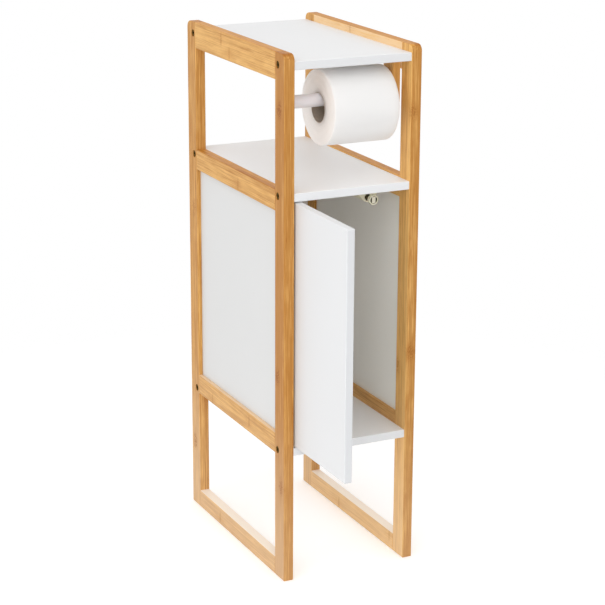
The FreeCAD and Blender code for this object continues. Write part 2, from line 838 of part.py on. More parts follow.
def make_pivots():
    """The two pins in the door's ends and the two flanged bushes in the shelves."""
    radius = size.pivot_diameter / 2
    reach = size.door_gap + size.bush_depth
    pin_outline = [(0, -reach), (radius, -reach), (radius, size.pivot_in_door), (0, size.pivot_in_door)]
    pin = turned_body("pivot_pin", "XZ_Plane", pin_outline, "V_Axis")
    bore = radius + size.running_fit
    outer = size.bush_diameter / 2
    flange = size.bush_flange_diameter / 2
    bush_outline = [(bore, -size.bush_depth), (outer, -size.bush_depth), (outer, 0), (flange, 0)]
    bush_outline += [(flange, bush_flange), (bore, bush_flange)]
    bush = turned_body("pivot_bush", "XZ_Plane", bush_outline, "V_Axis")
    over = FreeCAD.Vector(1, 0, 0)
    door_top = door_bottom + door_height
    low_pin = placement_at(pivot_x, pivot_y, door_bottom)
    high_pin = placement_at(pivot_x, pivot_y, door_top, over, HALF_TURN)
    group("door_pivot_pins", pin, [low_pin, high_pin])
    low_bush = placement_at(pivot_x, pivot_y, bottom_shelf_top)
    high_bush = placement_at(pivot_x, pivot_y, mid_shelf_bottom, over, HALF_TURN)
    group("pivot_bushes", bush, [low_bush, high_bush])


def make_strike():
    """The round steel plate that the latch's magnet holds, and its sunk screw."""
    half = size.door_thickness / 2
    thick = size.strike_thickness
    hole = size.strike_screw_diameter / 2
    head = size.strike_screw_head / 2
    rim = size.strike_diameter / 2
    plate_outline = [(0, hole + size.snug_fit), (0, rim), (thick, rim), (thick, head + size.snug_fit)]
    screw_outline = [(-size.strike_screw_length + size.hole_end_clearance, 0), (-hole, hole), (0, hole)]
    screw_outline += [(thick, head), (thick, 0)]
    for label, outline in (("strike_plate", plate_outline), ("strike_screw", screw_outline)):
        body = turned_body(label, "YZ_Plane", outline, "H_Axis", half, strike_z(), strike_x())
        hang(body)
        keep(body, label)


# Push latch

def place_latch(body):
    place(body, latch_x, latch_mouth_y, latch_z)
    return keep(body, body.Label)


def latch_screw_places():
    half = size.latch_screw_spacing / 2
    return (latch_x - half, latch_x + half)


def latch_screw_y():
    return latch_mouth_y + size.latch_screw_setback


def make_latch_housing():
    """Moulded housing: barrel, 45 degree wings, base flange on the shelf and the web between them."""
    body = new_body("latch_housing")
    barrel = new_sketch(body, "XZ_Plane")
    add_circle(barrel, 0, 0, size.barrel_diameter)
    pad(body, barrel, size.barrel_length, backwards=True)
    nose = size.barrel_diameter / 2 * TANGENT_SHARE
    half = size.latch_drop + nose * 2
    wings = new_sketch(body, "XZ_Plane")
    add_polygon(wings, [(-half, size.latch_drop), (-nose, -nose), (nose, -nose), (half, size.latch_drop)])
    pad(body, wings, size.wing_thickness, backwards=True)
    flange = new_sketch(body, "XZ_Plane")
    flange_low = size.latch_drop - size.flange_thickness
    add_rectangle(flange, -half, flange_low, half, size.latch_drop)
    pad(body, flange, size.flange_length, backwards=True)
    web = new_sketch(body, "XZ_Plane")
    add_rectangle(web, -size.web_thickness / 2, 0, size.web_thickness / 2, size.latch_drop)
    pad(body, web, size.flange_length, backwards=True)
    cut_latch_bores(body)
    holes = new_sketch(body, "XY_Plane", out=size.latch_drop)
    for x in (-size.latch_screw_spacing / 2, size.latch_screw_spacing / 2):
        diameter = size.wood_screw_diameter + size.snug_fit * 2
        add_circle(holes, x, size.latch_screw_setback, diameter)
    pocket(body, holes, size.flange_thickness + size.cut_overrun)
    return place_latch(body)


def cut_latch_bores(body):
    """The wide mouth, the guide for the stem and the spring's chamber, one behind the other."""
    mouth = new_sketch(body, "XZ_Plane")
    add_circle(mouth, 0, 0, size.mouth_diameter)
    pocket(body, mouth, size.mouth_depth)
    chamber = new_sketch(body, "XZ_Plane", out=-size.barrel_length)
    add_circle(chamber, 0, 0, chamber_diameter)
    depth = size.barrel_length - size.mouth_depth - size.guide_length
    pocket(body, chamber, depth, backwards=True)
    guide = new_sketch(body, "XZ_Plane")
    add_circle(guide, 0, 0, size.latch_stem_diameter + size.running_fit * 2)
    pocket(body, guide)


def latch_collar_start():
    return size.mouth_depth + size.guide_length + size.seat_gap


def make_latch_plunger():
    """The moving head, its magnet and the stem in the housing, whose mouth is at zero."""
    stem = size.latch_stem_diameter / 2
    collar = chamber_diameter / 2 - size.seat_gap
    collar_start = latch_collar_start()
    collar_end = collar_start + size.latch_collar
    nub_end = collar_end + size.latch_nub
    back = -size.latch_neck
    front = back - size.latch_head_thickness
    seat = front + size.magnet_recess_depth + size.latch_head_web
    stem_outline = [(seat, 0), (seat, stem), (collar_start, stem), (collar_start, collar)]
    stem_outline += [(collar_end, collar), (collar_end, stem), (nub_end, stem), (nub_end, 0)]
    place_latch(turned_body("latch_stem", "YZ_Plane", stem_outline, "H_Axis"))
    rim = size.latch_head_diameter / 2
    recess = rim - size.latch_head_rim
    floor = front + size.magnet_recess_depth
    head_outline = [(floor, 0), (floor, recess), (front, recess), (front, rim), (back, rim)]
    head_outline += [(back, stem + size.snug_fit), (seat, stem + size.snug_fit), (seat, 0)]
    head = turned_body("latch_head", "YZ_Plane", head_outline, "H_Axis")
    round_edges(head, size.latch_head_round, lambda edge: is_rim(edge, rim.number))
    place_latch(head)
    magnet = new_body("latch_magnet")
    block = new_sketch(magnet, "XZ_Plane", out=-floor)
    width, height = size.magnet_width / 2, recess - size.magnet_end_gap
    add_rectangle(block, -width, -height, width, height)
    pad(magnet, block, size.magnet_recess_depth - size.magnet_setback)
    place_latch(magnet)


def make_latch_cap():
    plug = chamber_diameter / 2 - size.snug_fit
    rim = size.barrel_diameter / 2
    end = size.barrel_length
    front = end - size.latch_cap_plug
    back = end + size.latch_cap_flange
    outline = [(front, 0), (front, plug), (end, plug), (end, rim), (back, rim), (back, 0)]
    place_latch(turned_body("latch_cap", "YZ_Plane", outline, "H_Axis"))


def make_latch_screws():
    template = make_wood_screw("latch_screw", size.flange_thickness, size.latch_screw_grip)
    z = mid_shelf_bottom - size.flange_thickness
    places = [placement_at(x, latch_screw_y(), z) for x in latch_screw_places()]
    return group("latch_screws", template, places)


# Springs

def helix_point(radius, pitch, angle):
    """A point of a helix about z, and the direction that the wire runs in there."""
    rise = pitch / (2 * math.pi)
    point = FreeCAD.Vector(radius * math.cos(angle), radius * math.sin(angle), rise * angle)
    heading = FreeCAD.Vector(-radius * math.sin(angle), radius * math.cos(angle), rise)
    return point, heading.normalize()


def arc_from(start, heading, end):
    """The arc that leaves a point along a heading and ends at another point."""
    chord = end - start
    along = FreeCAD.Vector(chord).normalize()
    sideways = (heading - along * heading.dot(along)).normalize()
    bulge = chord.Length / 2 * math.tan(heading.getAngle(along) / 2)
    return Part.Arc(start, (start + end) / 2 + sideways * bulge, end).toShape()


def biarc(start, start_heading, end, end_heading):
    """Two arcs that join two points and keep the heading at each."""
    span = end - start
    both = start_heading + end_heading
    bend = 2 * (1 - start_heading.dot(end_heading))
    reach = (math.sqrt(span.dot(both) ** 2 + bend * span.dot(span)) - span.dot(both)) / bend
    middle = (start + end + (start_heading - end_heading) * reach) / 2
    second = arc_from(end, -end_heading, middle)
    return [arc_from(start, start_heading, middle), second]


def make_spring(label, wire, diameter, turns, length):
    """A coil about z from its first turn to its last, as one unbroken tube."""
    radius = diameter.number / 2
    count = int(turns.number)
    pitch = (length.number - wire.number) / count
    knots = [helix_point(radius, pitch, math.pi * i) for i in range(2 * count + 1)]
    edges = []
    for (start, start_heading), (end, end_heading) in zip(knots, knots[1:]):
        edges += biarc(start, start_heading, end, end_heading)
    path = Part.Wire(Part.__sortEdges__(edges))
    section = Part.Wire(Part.Circle(knots[0][0], knots[0][1], wire.number / 2).toShape())
    solid = path.makePipeShell([section], True, False)
    print(f"{label}: least gap between turns {least_turn_gap(radius, pitch, count) - wire.number:.2f} mm")
    feature = doc.addObject("Part::Feature", label)
    feature.Shape = solid
    return keep(feature, label)


def least_turn_gap(radius, pitch, count):
    """The least distance between points of the coil's centre line that lie half a turn or more apart."""
    steps_per_turn = 24
    steps = range(count * steps_per_turn + 1)
    points = [helix_point(radius, pitch, 2 * math.pi * i / steps_per_turn)[0] for i in steps]
    pairs = ((a, b) for a in steps for b in steps if b - a > steps_per_turn // 2)
    return min(points[a].distanceToPoint(points[b]) for a, b in pairs)


def make_roller_spring():
    """Pushes the plug out of the tube, between the tube's closed end and the plug's rim."""
    gap = size.seat_gap
    start = size.roller_cap - roller_end + gap
    length = roller_end - size.plug_length - start - gap
    wire = size.roller_spring_wire
    diameter = plug_diameter - wire - size.spring_clearance * 2
    spring = make_spring("roller_spring", wire, diameter, size.roller_spring_turns, length)
    across = FreeCAD.Vector(0, 1, 0)
    spring.Placement = placement_at(start + wire / 2, roller_y, roller_z, across, FULL_TURN / 4)


def make_latch_spring():
    """Pushes the plunger out, between the stem's collar and the end cap."""
    gap = size.seat_gap
    start = latch_collar_start() + size.latch_collar + gap
    length = size.barrel_length - size.latch_cap_plug - start - gap
    wire = size.latch_spring_wire
    diameter = chamber_diameter - wire - size.spring_clearance * 2
    spring = make_spring("latch_spring", wire, diameter, size.latch_spring_turns, length)
    over = FreeCAD.Vector(1, 0, 0)
    y = latch_mouth_y + start + wire / 2
    spring.Placement = placement_at(latch_x, y, latch_z, over, -FULL_TURN / 4)


# The whole stand

def make_side_frames():
    dowel = make_dowel()
    screw = make_frame_screw()
    for side in SIDES:
        for end in ENDS:
            make_upright(side, end)
        make_rails(side)
        make_side_panel(side)
        make_dowels(side, dowel)
        make_frame_screws(side, screw)


def make_cabinet():
    for name in shelf_bottoms:
        make_shelf(name)
    shelves = {part.Label: part for part in parts}
    cut_cabinet_fittings(shelves["bottom_shelf"], at_top=True)
    cut_cabinet_fittings(shelves["mid_shelf"], at_top=False)
    cut_latch_pilots(shelves["mid_shelf"])
    make_back_panel()
    make_door()
    make_pivots()
    make_strike()


def make_latch():
    make_latch_housing()
    make_latch_plunger()
    make_latch_cap()
    make_latch_screws()
    make_latch_spring()


def make_roll_holder():
    rails = {part.Label: part for part in parts}
    for side in SIDES:
        make_bracket(side)
        cut_bracket_pilots(rails[f"{side}_top_rail"], side)
    make_bracket_screws()
    make_roller_tube()
    make_roller_plug()
    make_roller_spring()
    make_roll()


def check_and_write():
    """Writes every sub-part, once all of them are known to be sound."""
    doc.recompute()
    for thing in doc.Objects:
        if "Invalid" in thing.State or "Error" in thing.State:
            raise RuntimeError(f"{thing.Label} failed: {thing.State}")
    for part in parts:
        if part.Shape.isNull() or not part.Shape.isValid() or part.Shape.Volume <= 0:
            raise RuntimeError(f"{part.Label} has no sound shape")
    os.makedirs("parts", exist_ok=True)
    for part in parts:
        part.Shape.exportStep(f"parts/{part.Label}.step")
    print(f"wrote {len(parts)} sub-parts")


make_side_frames()
make_cabinet()
make_latch()
make_roll_holder()
check_and_write()
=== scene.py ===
"""Looks of the toilet paper stand: bamboo frames, white boards, roll holder, latch and paper roll."""

import math

import bpy
from mathutils import Matrix, Vector


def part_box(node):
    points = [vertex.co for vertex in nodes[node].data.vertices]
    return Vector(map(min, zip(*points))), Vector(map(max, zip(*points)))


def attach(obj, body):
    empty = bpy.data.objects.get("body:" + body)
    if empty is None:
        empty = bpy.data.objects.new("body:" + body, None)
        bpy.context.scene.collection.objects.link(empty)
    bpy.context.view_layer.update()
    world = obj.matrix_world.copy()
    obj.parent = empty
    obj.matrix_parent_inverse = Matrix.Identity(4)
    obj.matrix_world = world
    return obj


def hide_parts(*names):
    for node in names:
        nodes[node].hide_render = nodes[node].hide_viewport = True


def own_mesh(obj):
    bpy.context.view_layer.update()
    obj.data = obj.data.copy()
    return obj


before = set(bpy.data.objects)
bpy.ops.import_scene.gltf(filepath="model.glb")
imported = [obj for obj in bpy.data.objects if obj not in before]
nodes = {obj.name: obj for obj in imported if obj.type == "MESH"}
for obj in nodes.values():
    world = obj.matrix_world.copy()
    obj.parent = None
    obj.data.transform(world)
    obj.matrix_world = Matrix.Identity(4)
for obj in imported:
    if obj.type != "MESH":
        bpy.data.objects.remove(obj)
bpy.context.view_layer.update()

MM = 0.001
TURN = 2 * math.pi
HALF = 0.5
WHITE = (1.0, 1.0, 1.0)
UNCHANGED = (1.0, 1.0, 1.0)

# Camera, fitted to the corners of the frames and shelves
IMAGE_PIXELS = 605
FOCAL_PIXELS = 1956.9
SENSOR_WIDTH = 36.0
CAMERA_YAW = math.radians(25.837)
CAMERA_PITCH = math.radians(16.888)
CAMERA_ROLL = math.radians(-0.256)
CAMERA_PLACE = Vector((-1.2323, -2.5556, 1.2294))

# Light: a pale tent that is brighter behind, with soft lamps at the left, in front and overhead
TENT_FRONT = 0.74
TENT_BACK = 1.0
TENT_BACK_FROM = 0.8
LAMPS = {
    "key": {"place": (-2.1, -1.2, 2.5), "size": 1.6, "power": 6.0},
    "left": {"place": (-2.6, -1.4, 1.1), "size": 2.0, "power": 11.0},
    "front_left": {"place": (-1.3, -2.6, 0.9), "size": 1.8, "power": 9.0},
    "front_high": {"place": (-0.9, -2.3, 2.3), "size": 2.0, "power": 16.0},
    "overhead": {"place": (0.2, -0.2, 2.6), "size": 1.8, "power": 2.0},
}
LAMP_TARGET = Vector((0.0, 0.0, 0.4))

# Floor: a pale sheet that fades out, with a glow that gives no light
FLOOR_HALF = 1.2
FLOOR_CELLS = 12
FLOOR_FADE = (0.45, 1.1)
FLOOR_DROP = 0.1 * MM
FLOOR_COLOUR = (0.955, 0.955, 0.955)
FLOOR_PALER_SHARE = 1.01
FLOOR_CLOUD = {"scale": 1.5, "detail": 2.0}
FLOOR_GLOW = 0.22
FLOOR_ROUGHNESS = 0.85
FLOOR_SPECULAR = 0.1

# Faces that look along an axis: how squarely, from where a tint starts to where it is full
FRONT_FACE = (-0.5, -0.9)
UPPER_FACE = (0.5, 0.9)
SQUARE_FACE = (0.6, 0.9)
ROLL_END_FACE = (0.55, 0.85)

# Rounded edges: how far the softened normal leans from the face's own, and the rays that find it
EDGE_LEAN = (0.985, 0.86)
EDGE_RAYS = 4
EDGE_REACH = 1.6 * MM

# Bamboo: three plies through the stock, each of strips side by side
BAMBOO_DARK = (0.472, 0.200, 0.039)
BAMBOO_PALE = (0.86, 0.51, 0.170)
BAMBOO_CREAM = (0.90, 0.63, 0.36)
KNOT_TINT = (0.57, 0.34, 0.07)
FLECK_TINT = (0.70, 0.50, 0.28)
GLUE_TINT = (0.74, 0.62, 0.47)
# Painted highlight on the bamboo's rounded edges
EDGE_HIGHLIGHT_TINT = (1.12, 1.17, 1.24)
LACQUER = {"Coat_Weight": 0.05, "Coat_Roughness": 0.32, "Specular_IOR_Level": 0.16}
LACQUER_ROUGHNESS = (0.52, 0.40)
BAMBOO_BUMP = {"depth": 0.06 * MM, "strength": 0.6}
STOCK = 16 * MM
PLY_COUNT = 3
PLY = STOCK / PLY_COUNT
PLY_START_SHARE = 0.25
STRIP = 17 * MM
STRIP_STAGGER_SHARE = 0.37
GLUE_LINE = 0.22 * MM

# Painted light and shade on the frames: one darker tone on the front faces, paler lower ends, darker or paler
# upper faces
FRONT_SHADE_TONE = 0.27
LOW_PAINTED_LIGHT_COLOUR = (0.86, 0.67, 0.45)
LOW_PAINTED_LIGHT_REACH = 300 * MM
LOW_PAINTED_LIGHT_SHARE = 0.40
FRONT_PAINTED_LIGHT_SHARE = 0.35
TOP_PAINTED_LIGHT_COLOUR = (0.97, 0.87, 0.75)
TOP_PAINTED_LIGHT_SHARES = {"foot_rail": 0.9, "left_lower_rail": 0.35}
TOP_FACE_SHADE_TINT = (0.84, 0.67, 0.38)
DEEP_TOP_SHADE_TINT = (0.69, 0.47, 0.14)
SHADED_TOPS = ("top_rail", "mid_rail", "upright")
DEEPLY_SHADED_TOPS = ("right_top_rail",)

# Grain: scale of each noise across and along the member, its detail, and the ranges that turn it into marks
GRAIN = {
    "broad": (150.0, 3.0, 2.0),
    "streak": (520.0, 9.0, 3.0),
    "fibre": (1200.0, 17.0, 4.0),
    "patch": (110.0, 32.0, 3.0),
    "fleck": (760.0, 42.0, 2.0),
}
GRAIN_SHIFT = (0.13, 0.29, 0.41)
LINE_RANGE = (0.40, 0.60)
FLECK_RANGE = (0.60, 0.74)
STAIN_RANGE = (0.48, 0.62)
FIBRE_RANGE = (0.25, 0.75)
PALE_RANGE = (0.0, 1.0)
CREAM_RANGE = (1.0, 1.8)

# How much the patterns and marks count on uprights and brackets, and on rails
TONE_PATTERNS = ("broad", "patch", "lines", "fibre")
SHARED_WEIGHTS = {"broad": 0.55, "patch": 0.5, "lines": 0.22, "stain": 0.35}
UPRIGHT_WEIGHTS = {**SHARED_WEIGHTS, "fibre": 1.25, "fleck": 0.55, "loop": 0.9, "ring": 0.15}
RAIL_WEIGHTS = {**SHARED_WEIGHTS, "fibre": 0.9, "fleck": 0.25, "loop": 0.15, "ring": 0.6}
STRIP_WEIGHT = 0.24
GLUE_WEIGHT = 0.6
GROOVE_WEIGHT = 0.6

# Knots: reach across and along the grain, where each mark fades in, and the curled fibres in it
KNOT_REACH = (10 * MM, 19 * MM)
RING_REACH = (13 * MM, 2.2 * MM)
STAIN_REACH = (9 * MM, 30 * MM)
KNOT_FADE = (1.0, 0.3)
RING_FADE = (1.0, 0.5)
STAIN_FADE = (1.2, 0.1)
KNOT_WOBBLE = 7 * MM
RING_WOBBLE = 2 * MM
WOBBLE_SCALE = 190.0
CURL_SCALES = (170.0, 85.0)
CURL_DETAIL = 1.5
CURL_COUNT = 26.0
CURL_RANGE = (0.45, 0.95)

# Tone at each member's outer and inner face, and its knots: millimetres from its low corner, and strength
MEMBERS = {
    "left_front_upright": (0.12, 0.46, ((0, 16, 701, 1.0), (0, 22, 312, 1.0), (0, 9, 146, 0.6))),
    "left_rear_upright": (0.29, 0.36, ((0, 13, 493, 0.6), (0, 19, 107, 1.0))),
    "left_top_rail": (0.62, 0.62, ((0, 156, 11, 0.7), (0, 185, 28, 1.0))),
    "left_mid_rail": (0.47, 0.62, ((0, 127, 11, 0.7),)),
    "left_lower_rail": (0.37, 0.62, ((0, 91, 17.5, 1.0), (0, 229, 8.5, 0.6))),
    "left_foot_rail": (0.40, 0.62, ((0, 203, 12, 0.7),)),
    "left_roll_bracket": (0.55, 0.55, ((12, 17.5, 40, 0.6),)),
    "right_front_upright": (0.28, 0.72, ((7, 0, 327, 0.5), (0, 26, 300, 0.6), (3, 0, 684, 0.5))),
    "right_rear_upright": (0.46, 0.62, ((0, 9, 130, 0.6), (0, 19, 345, 0.6), (0, 14, 640, 0.6))),
    "right_top_rail": (0.66, 1.60, ((0, 161, 35, 0.7),)),
    "right_mid_rail": (0.60, 0.72, ((0, 66, 17, 0.7), (16, 231, 11, 0.7))),
    "right_lower_rail": (0.60, 0.40, ((0, 176, 19.5, 0.7), (0, 71, 7.5, 0.7))),
    "right_foot_rail": (0.58, 0.62, ((0, 11, 20, 0.7), (0, 181, 10, 0.7))),
    "right_roll_bracket": (0.62, 0.62, ((0, 12.5, 53, 0.6),)),
}

# White paint of each board and panel, one white made greyer on boards in full light and paler on boards in
# shade, as painted light and shade; greyer on the boards' front and rear edges, as painted shade
PAINTED = {
    "top_shelf": (0.850, 0.853, 0.858),
    "mid_shelf": (0.925, 0.932, 0.940),
    "bottom_shelf": (0.945, 0.948, 0.950),
    "door_panel": (0.795, 0.802, 0.812),
    "left_side_panel": (0.735, 0.738, 0.736),
    "right_side_panel": (0.948, 0.942, 0.890),
    "back_panel": (0.942, 0.941, 0.930),
}
EDGE_SHADE_TINTS = {
    "top_shelf": (0.883, 0.888, 0.897),
    "mid_shelf": (0.867, 0.872, 0.881),
    "bottom_shelf": (0.800, 0.804, 0.812),
    "door_panel": (0.912, 0.917, 0.926),
}

# White paint on the faces that look to the stand's right, where it differs: the side panels and the door are
# greyer on their outer faces than on their inner ones, as painted shade
RIGHT_FACE_LIGHT_AND_SHADE = {
    "left_side_panel": (0.925, 0.922, 0.905),
    "door_panel": (0.925, 0.922, 0.905),
    "right_side_panel": (0.760, 0.762, 0.758),
}

# Satin paint: clouds, the roller's grain, a painted highlight on rounded edges, and rubbed spots
PAINT_SPECULAR = 0.22
PAINT_ROUGHNESS = 0.50
PAINT_SEED_STEP = 1.7
PAINT_SEED_SHARES = (1.0, 0.7, 0.3)
PAINT_CLOUD = {"scale": 7.0, "detail": 2.0}
PAINT_GRAIN = {"scale": 1500.0, "detail": 2.0}
PAINT_CLOUD_SHARE = 0.965
PAINT_CLOUD_ROUGHNESS = 0.12
PAINT_CLOUD_HEIGHT = 2.0
PAINT_EDGE_HIGHLIGHT_TINT = (1.02, 1.025, 1.035)
PAINT_EDGE_HIGHLIGHT_WEIGHT = 0.5
PAINT_BUMP = {"depth": 0.018 * MM, "strength": 0.55}
RUB_STRETCH = (60.0, 60.0, 14.0)
RUB_DETAIL = 5.0
RUB_RANGE = (0.66, 0.80)
RUB_TINT = (0.955, 0.95, 0.935)
RUB_WEIGHT = 0.35
RUB_ROUGHNESS = 0.14

# Metals: fine tool marks, darker spots and rubbed edges
METALNESS = 0.92
METALS = {
    "bronzed_screw": {
        "colour": (0.115, 0.078, 0.032), "worn": (0.50, 0.36, 0.14), "roughness": 0.42,
        "marks": (900.0, 300.0, 300.0), "seed": 0.3, "glance": (0.62, 0.50, 0.32),
    },
    "zinc_screw": {
        "colour": (0.62, 0.61, 0.58), "worn": (0.78, 0.77, 0.74), "roughness": 0.34,
        "marks": (400.0, 400.0, 1500.0), "seed": 1.1,
    },
    "oiled_steel": {
        "colour": (0.25, 0.20, 0.115), "worn": (0.36, 0.31, 0.20), "roughness": 0.42,
        "marks": (1600.0, 90.0, 1600.0), "seed": 1.9,
    },
    "nickel_magnet": {
        "colour": (0.72, 0.68, 0.55), "worn": (0.80, 0.77, 0.66), "roughness": 0.46,
        "marks": (300.0, 900.0, 2600.0), "seed": 3.1,
    },
    "drawn_wire": {
        "colour": (0.48, 0.48, 0.49), "worn": (0.66, 0.66, 0.66), "roughness": 0.30,
        "marks": (700.0, 700.0, 700.0), "seed": 2.3,
    },
}
MARK_DETAIL = 3.0
MARK_ROUGHNESS = 0.22
SPOT_NOISE = {"scale": 420.0, "detail": 4.0}
SPOT_RANGE = (0.35, 0.7)
SPOT_WEIGHT = 0.55
SPOT_SHARE = 0.72
WORN_RANGE = (0.3, 0.6)
WORN_REACH = 0.5 * MM
METAL_BUMP = {"depth": 0.02 * MM, "strength": 0.5}

# Moulded plastics: flow clouds, a fine eroded skin, paler edges as a painted highlight, and painted shade in
# the latch head's recess
MOULDED = {"Subsurface_Weight": 0.06, "Subsurface_Scale": 1.5 * MM, "IOR": 1.48}
CREAM = (0.80, 0.765, 0.575)
PLASTICS = {
    "cream_plastic": {"colour": CREAM, "roughness": 0.40, "grain": 2200.0, "seed": 0.4},
    "cream_head_plastic": {
        "colour": CREAM, "roughness": 0.40, "grain": 2200.0, "seed": 0.9, "hollow": "latch_head",
    },
    "white_bush_plastic": {"colour": (0.80, 0.80, 0.785), "roughness": 0.38, "grain": 2600.0, "seed": 1.2},
    "roller_plastic": {"colour": (0.830, 0.806, 0.836), "roughness": 0.30, "grain": 1300.0, "seed": 2.6},
}
FLOW_NOISE = {"scale": 55.0, "detail": 3.0}
FLOW_SHARE = 0.93
FLOW_ROUGHNESS = 0.16
SKIN_DETAIL = 2.0
MOULD_EDGE_REACH = 0.6 * MM
MOULD_EDGE_HIGHLIGHT_TINT = (1.04, 1.04, 1.05)
MOULD_EDGE_HIGHLIGHT_WEIGHT = 0.6
PLASTIC_BUMP = {"depth": 0.02 * MM, "strength": 0.5}
RECESS_RIM = 5.7 * MM
RECESS_RIM_SOFTNESS = 0.2 * MM
RECESS_DEPTHS = (0.3 * MM, 1.5 * MM)
RECESS_SHADE_TINT = (0.15, 0.125, 0.09)

# Tissue paper: soft and translucent, dimpled on its face and layered on its ends, whose paler, warmer colour
# is painted light
TISSUE = {
    "Sheen_Weight": 0.15, "Sheen_Roughness": 0.6, "Specular_IOR_Level": 0.2,
    "Subsurface_Weight": 0.8, "Subsurface_Scale": 23 * MM, "Subsurface_Radius": UNCHANGED,
}
TISSUE_FACE = ((0.797, 0.789, 0.781), (0.847, 0.841, 0.833))
# Ends paler and warmer than the face: painted light and a painted warm bounce from the bamboo
TISSUE_END_LIT = ((0.920, 0.885, 0.862), (0.970, 0.948, 0.930))
TISSUE_CLOUD_STRETCH = (9.0, 40.0, 40.0)
TISSUE_CLOUD_DETAIL = 2.0
FLUFF_NOISE = {"scale": 900.0, "detail": 5.0}
FLUFF_RANGE = (0.2, 0.8)
FLUFF_ROUGHNESS = (0.86, 1.0)
FLUFF_HEIGHT = 0.8
LAYER_SCALE = 2600.0
LAYER_TWIST = 0.8
LAYER_DETAIL = 3.0
LAYER_RANGE = (0.30, 0.70)
LAYER_HEIGHT = 1.5
DIMPLE_SCALE = 420.0
TISSUE_BUMP = {"depth": 0.10 * MM, "strength": 0.45}

# Cardboard: pulp, darker fibres, the seam's line and paler cut ends
CARD_SPECULAR = 0.25
CARD_COLOURS = ((0.30, 0.245, 0.195), (0.46, 0.395, 0.33))
CARD_END = (0.74, 0.69, 0.63)
PULP_NOISE = {"scale": 260.0, "detail": 6.0}
PULP_RANGE = (0.3, 0.7)
CARD_ROUGHNESS = (0.82, 0.96)
CARD_FIBRE_STRETCH = (500.0, 1900.0, 1900.0)
CARD_FIBRE_DETAIL = 4.0
CARD_FIBRE_RANGE = (0.58, 0.72)
CARD_FIBRE_TINT = (0.62, 0.56, 0.50)
CARD_FIBRE_WEIGHT = 0.5
SEAM_TINT = (0.6, 0.55, 0.5)
SEAM_WEIGHT = 0.5
SEAM_LINE_SHARE = 0.012
CARD_BUMP = {"depth": 0.06 * MM, "strength": 0.6}

# Dowel wood
DOWEL_COLOURS = ((0.55, 0.38, 0.20), (0.78, 0.60, 0.38))
DOWEL_STRETCH = (900.0, 20.0, 900.0)
DOWEL_DETAIL = 4.0
DOWEL_RANGE = (0.3, 0.7)
DOWEL_ROUGHNESS = (0.62, 0.78)
DOWEL_BUMP = {"depth": 0.05 * MM, "strength": 0.5}

# Nodes that share a metal, a plastic or the dowel wood
WEARERS = {
    "bronzed_screw": ("left_frame_screws", "right_frame_screws", "bracket_screws"),
    "zinc_screw": ("latch_screws", "strike_plate", "strike_screw", "door_pivot_pins"),
    "oiled_steel": ("latch_stem",),
    "nickel_magnet": ("latch_magnet",),
    "drawn_wire": ("latch_spring", "roller_spring"),
    "cream_plastic": ("latch_housing", "latch_cap"),
    "cream_head_plastic": ("latch_head",),
    "white_bush_plastic": ("pivot_bushes",),
    "roller_plastic": ("roller_tube", "roller_plug"),
    "dowel_wood": ("left_rail_dowels", "right_rail_dowels"),
}

# Toilet roll: windings on its ends, faint bands round it, and the spiral's outer edge at the back
ROLL_COLUMNS = 240
ROLL_END_STEPS = 88
ROLL_FACE_STEPS = 36
ROLL_CORNER_STEPS = 5
ROLL_CORNER = 2 * MM
SHEET_STEP = 0.35 * MM
SHEET_EDGE_ANGLE = math.radians(-35)
SHEET_GAP_SHARE = 1e-4
BAND_DEPTH = 0.22 * MM
BANDS = ((5, 0.4, 0.5), (9, 2.1, 0.3), (17, 4.0, 0.2))
WINDING_PITCH = 1.45 * MM
WINDING_DEPTH = 0.16 * MM
TELESCOPE_DEPTH = 0.30 * MM
TELESCOPE_PITCH = 9.5 * MM
TELESCOPE_SWAY = 1.3
TELESCOPE_START = 0.6
SHARP_ANGLE = math.radians(50)

# Cardboard core with the spiral seam of its inner ply
CORE_COLUMNS = 144
CORE_ROWS = 90
CORE_WALL = 1 * MM
CORE_CLEARANCE = 0.05 * MM
SEAM_PITCH = 68 * MM
SEAM_DEPTH = 0.22 * MM
SEAM_WIDTH_SHARE = 0.035

# Springs, each copied and carried by its body: body, joint, axis, and whether the higher end stays
SPRINGS = {
    "latch_spring": ("stand", "latch_push", (0, 1, 0), True),
    "roller_spring": ("roller_outer", "roller_squeeze", (1, 0, 0), False),
}


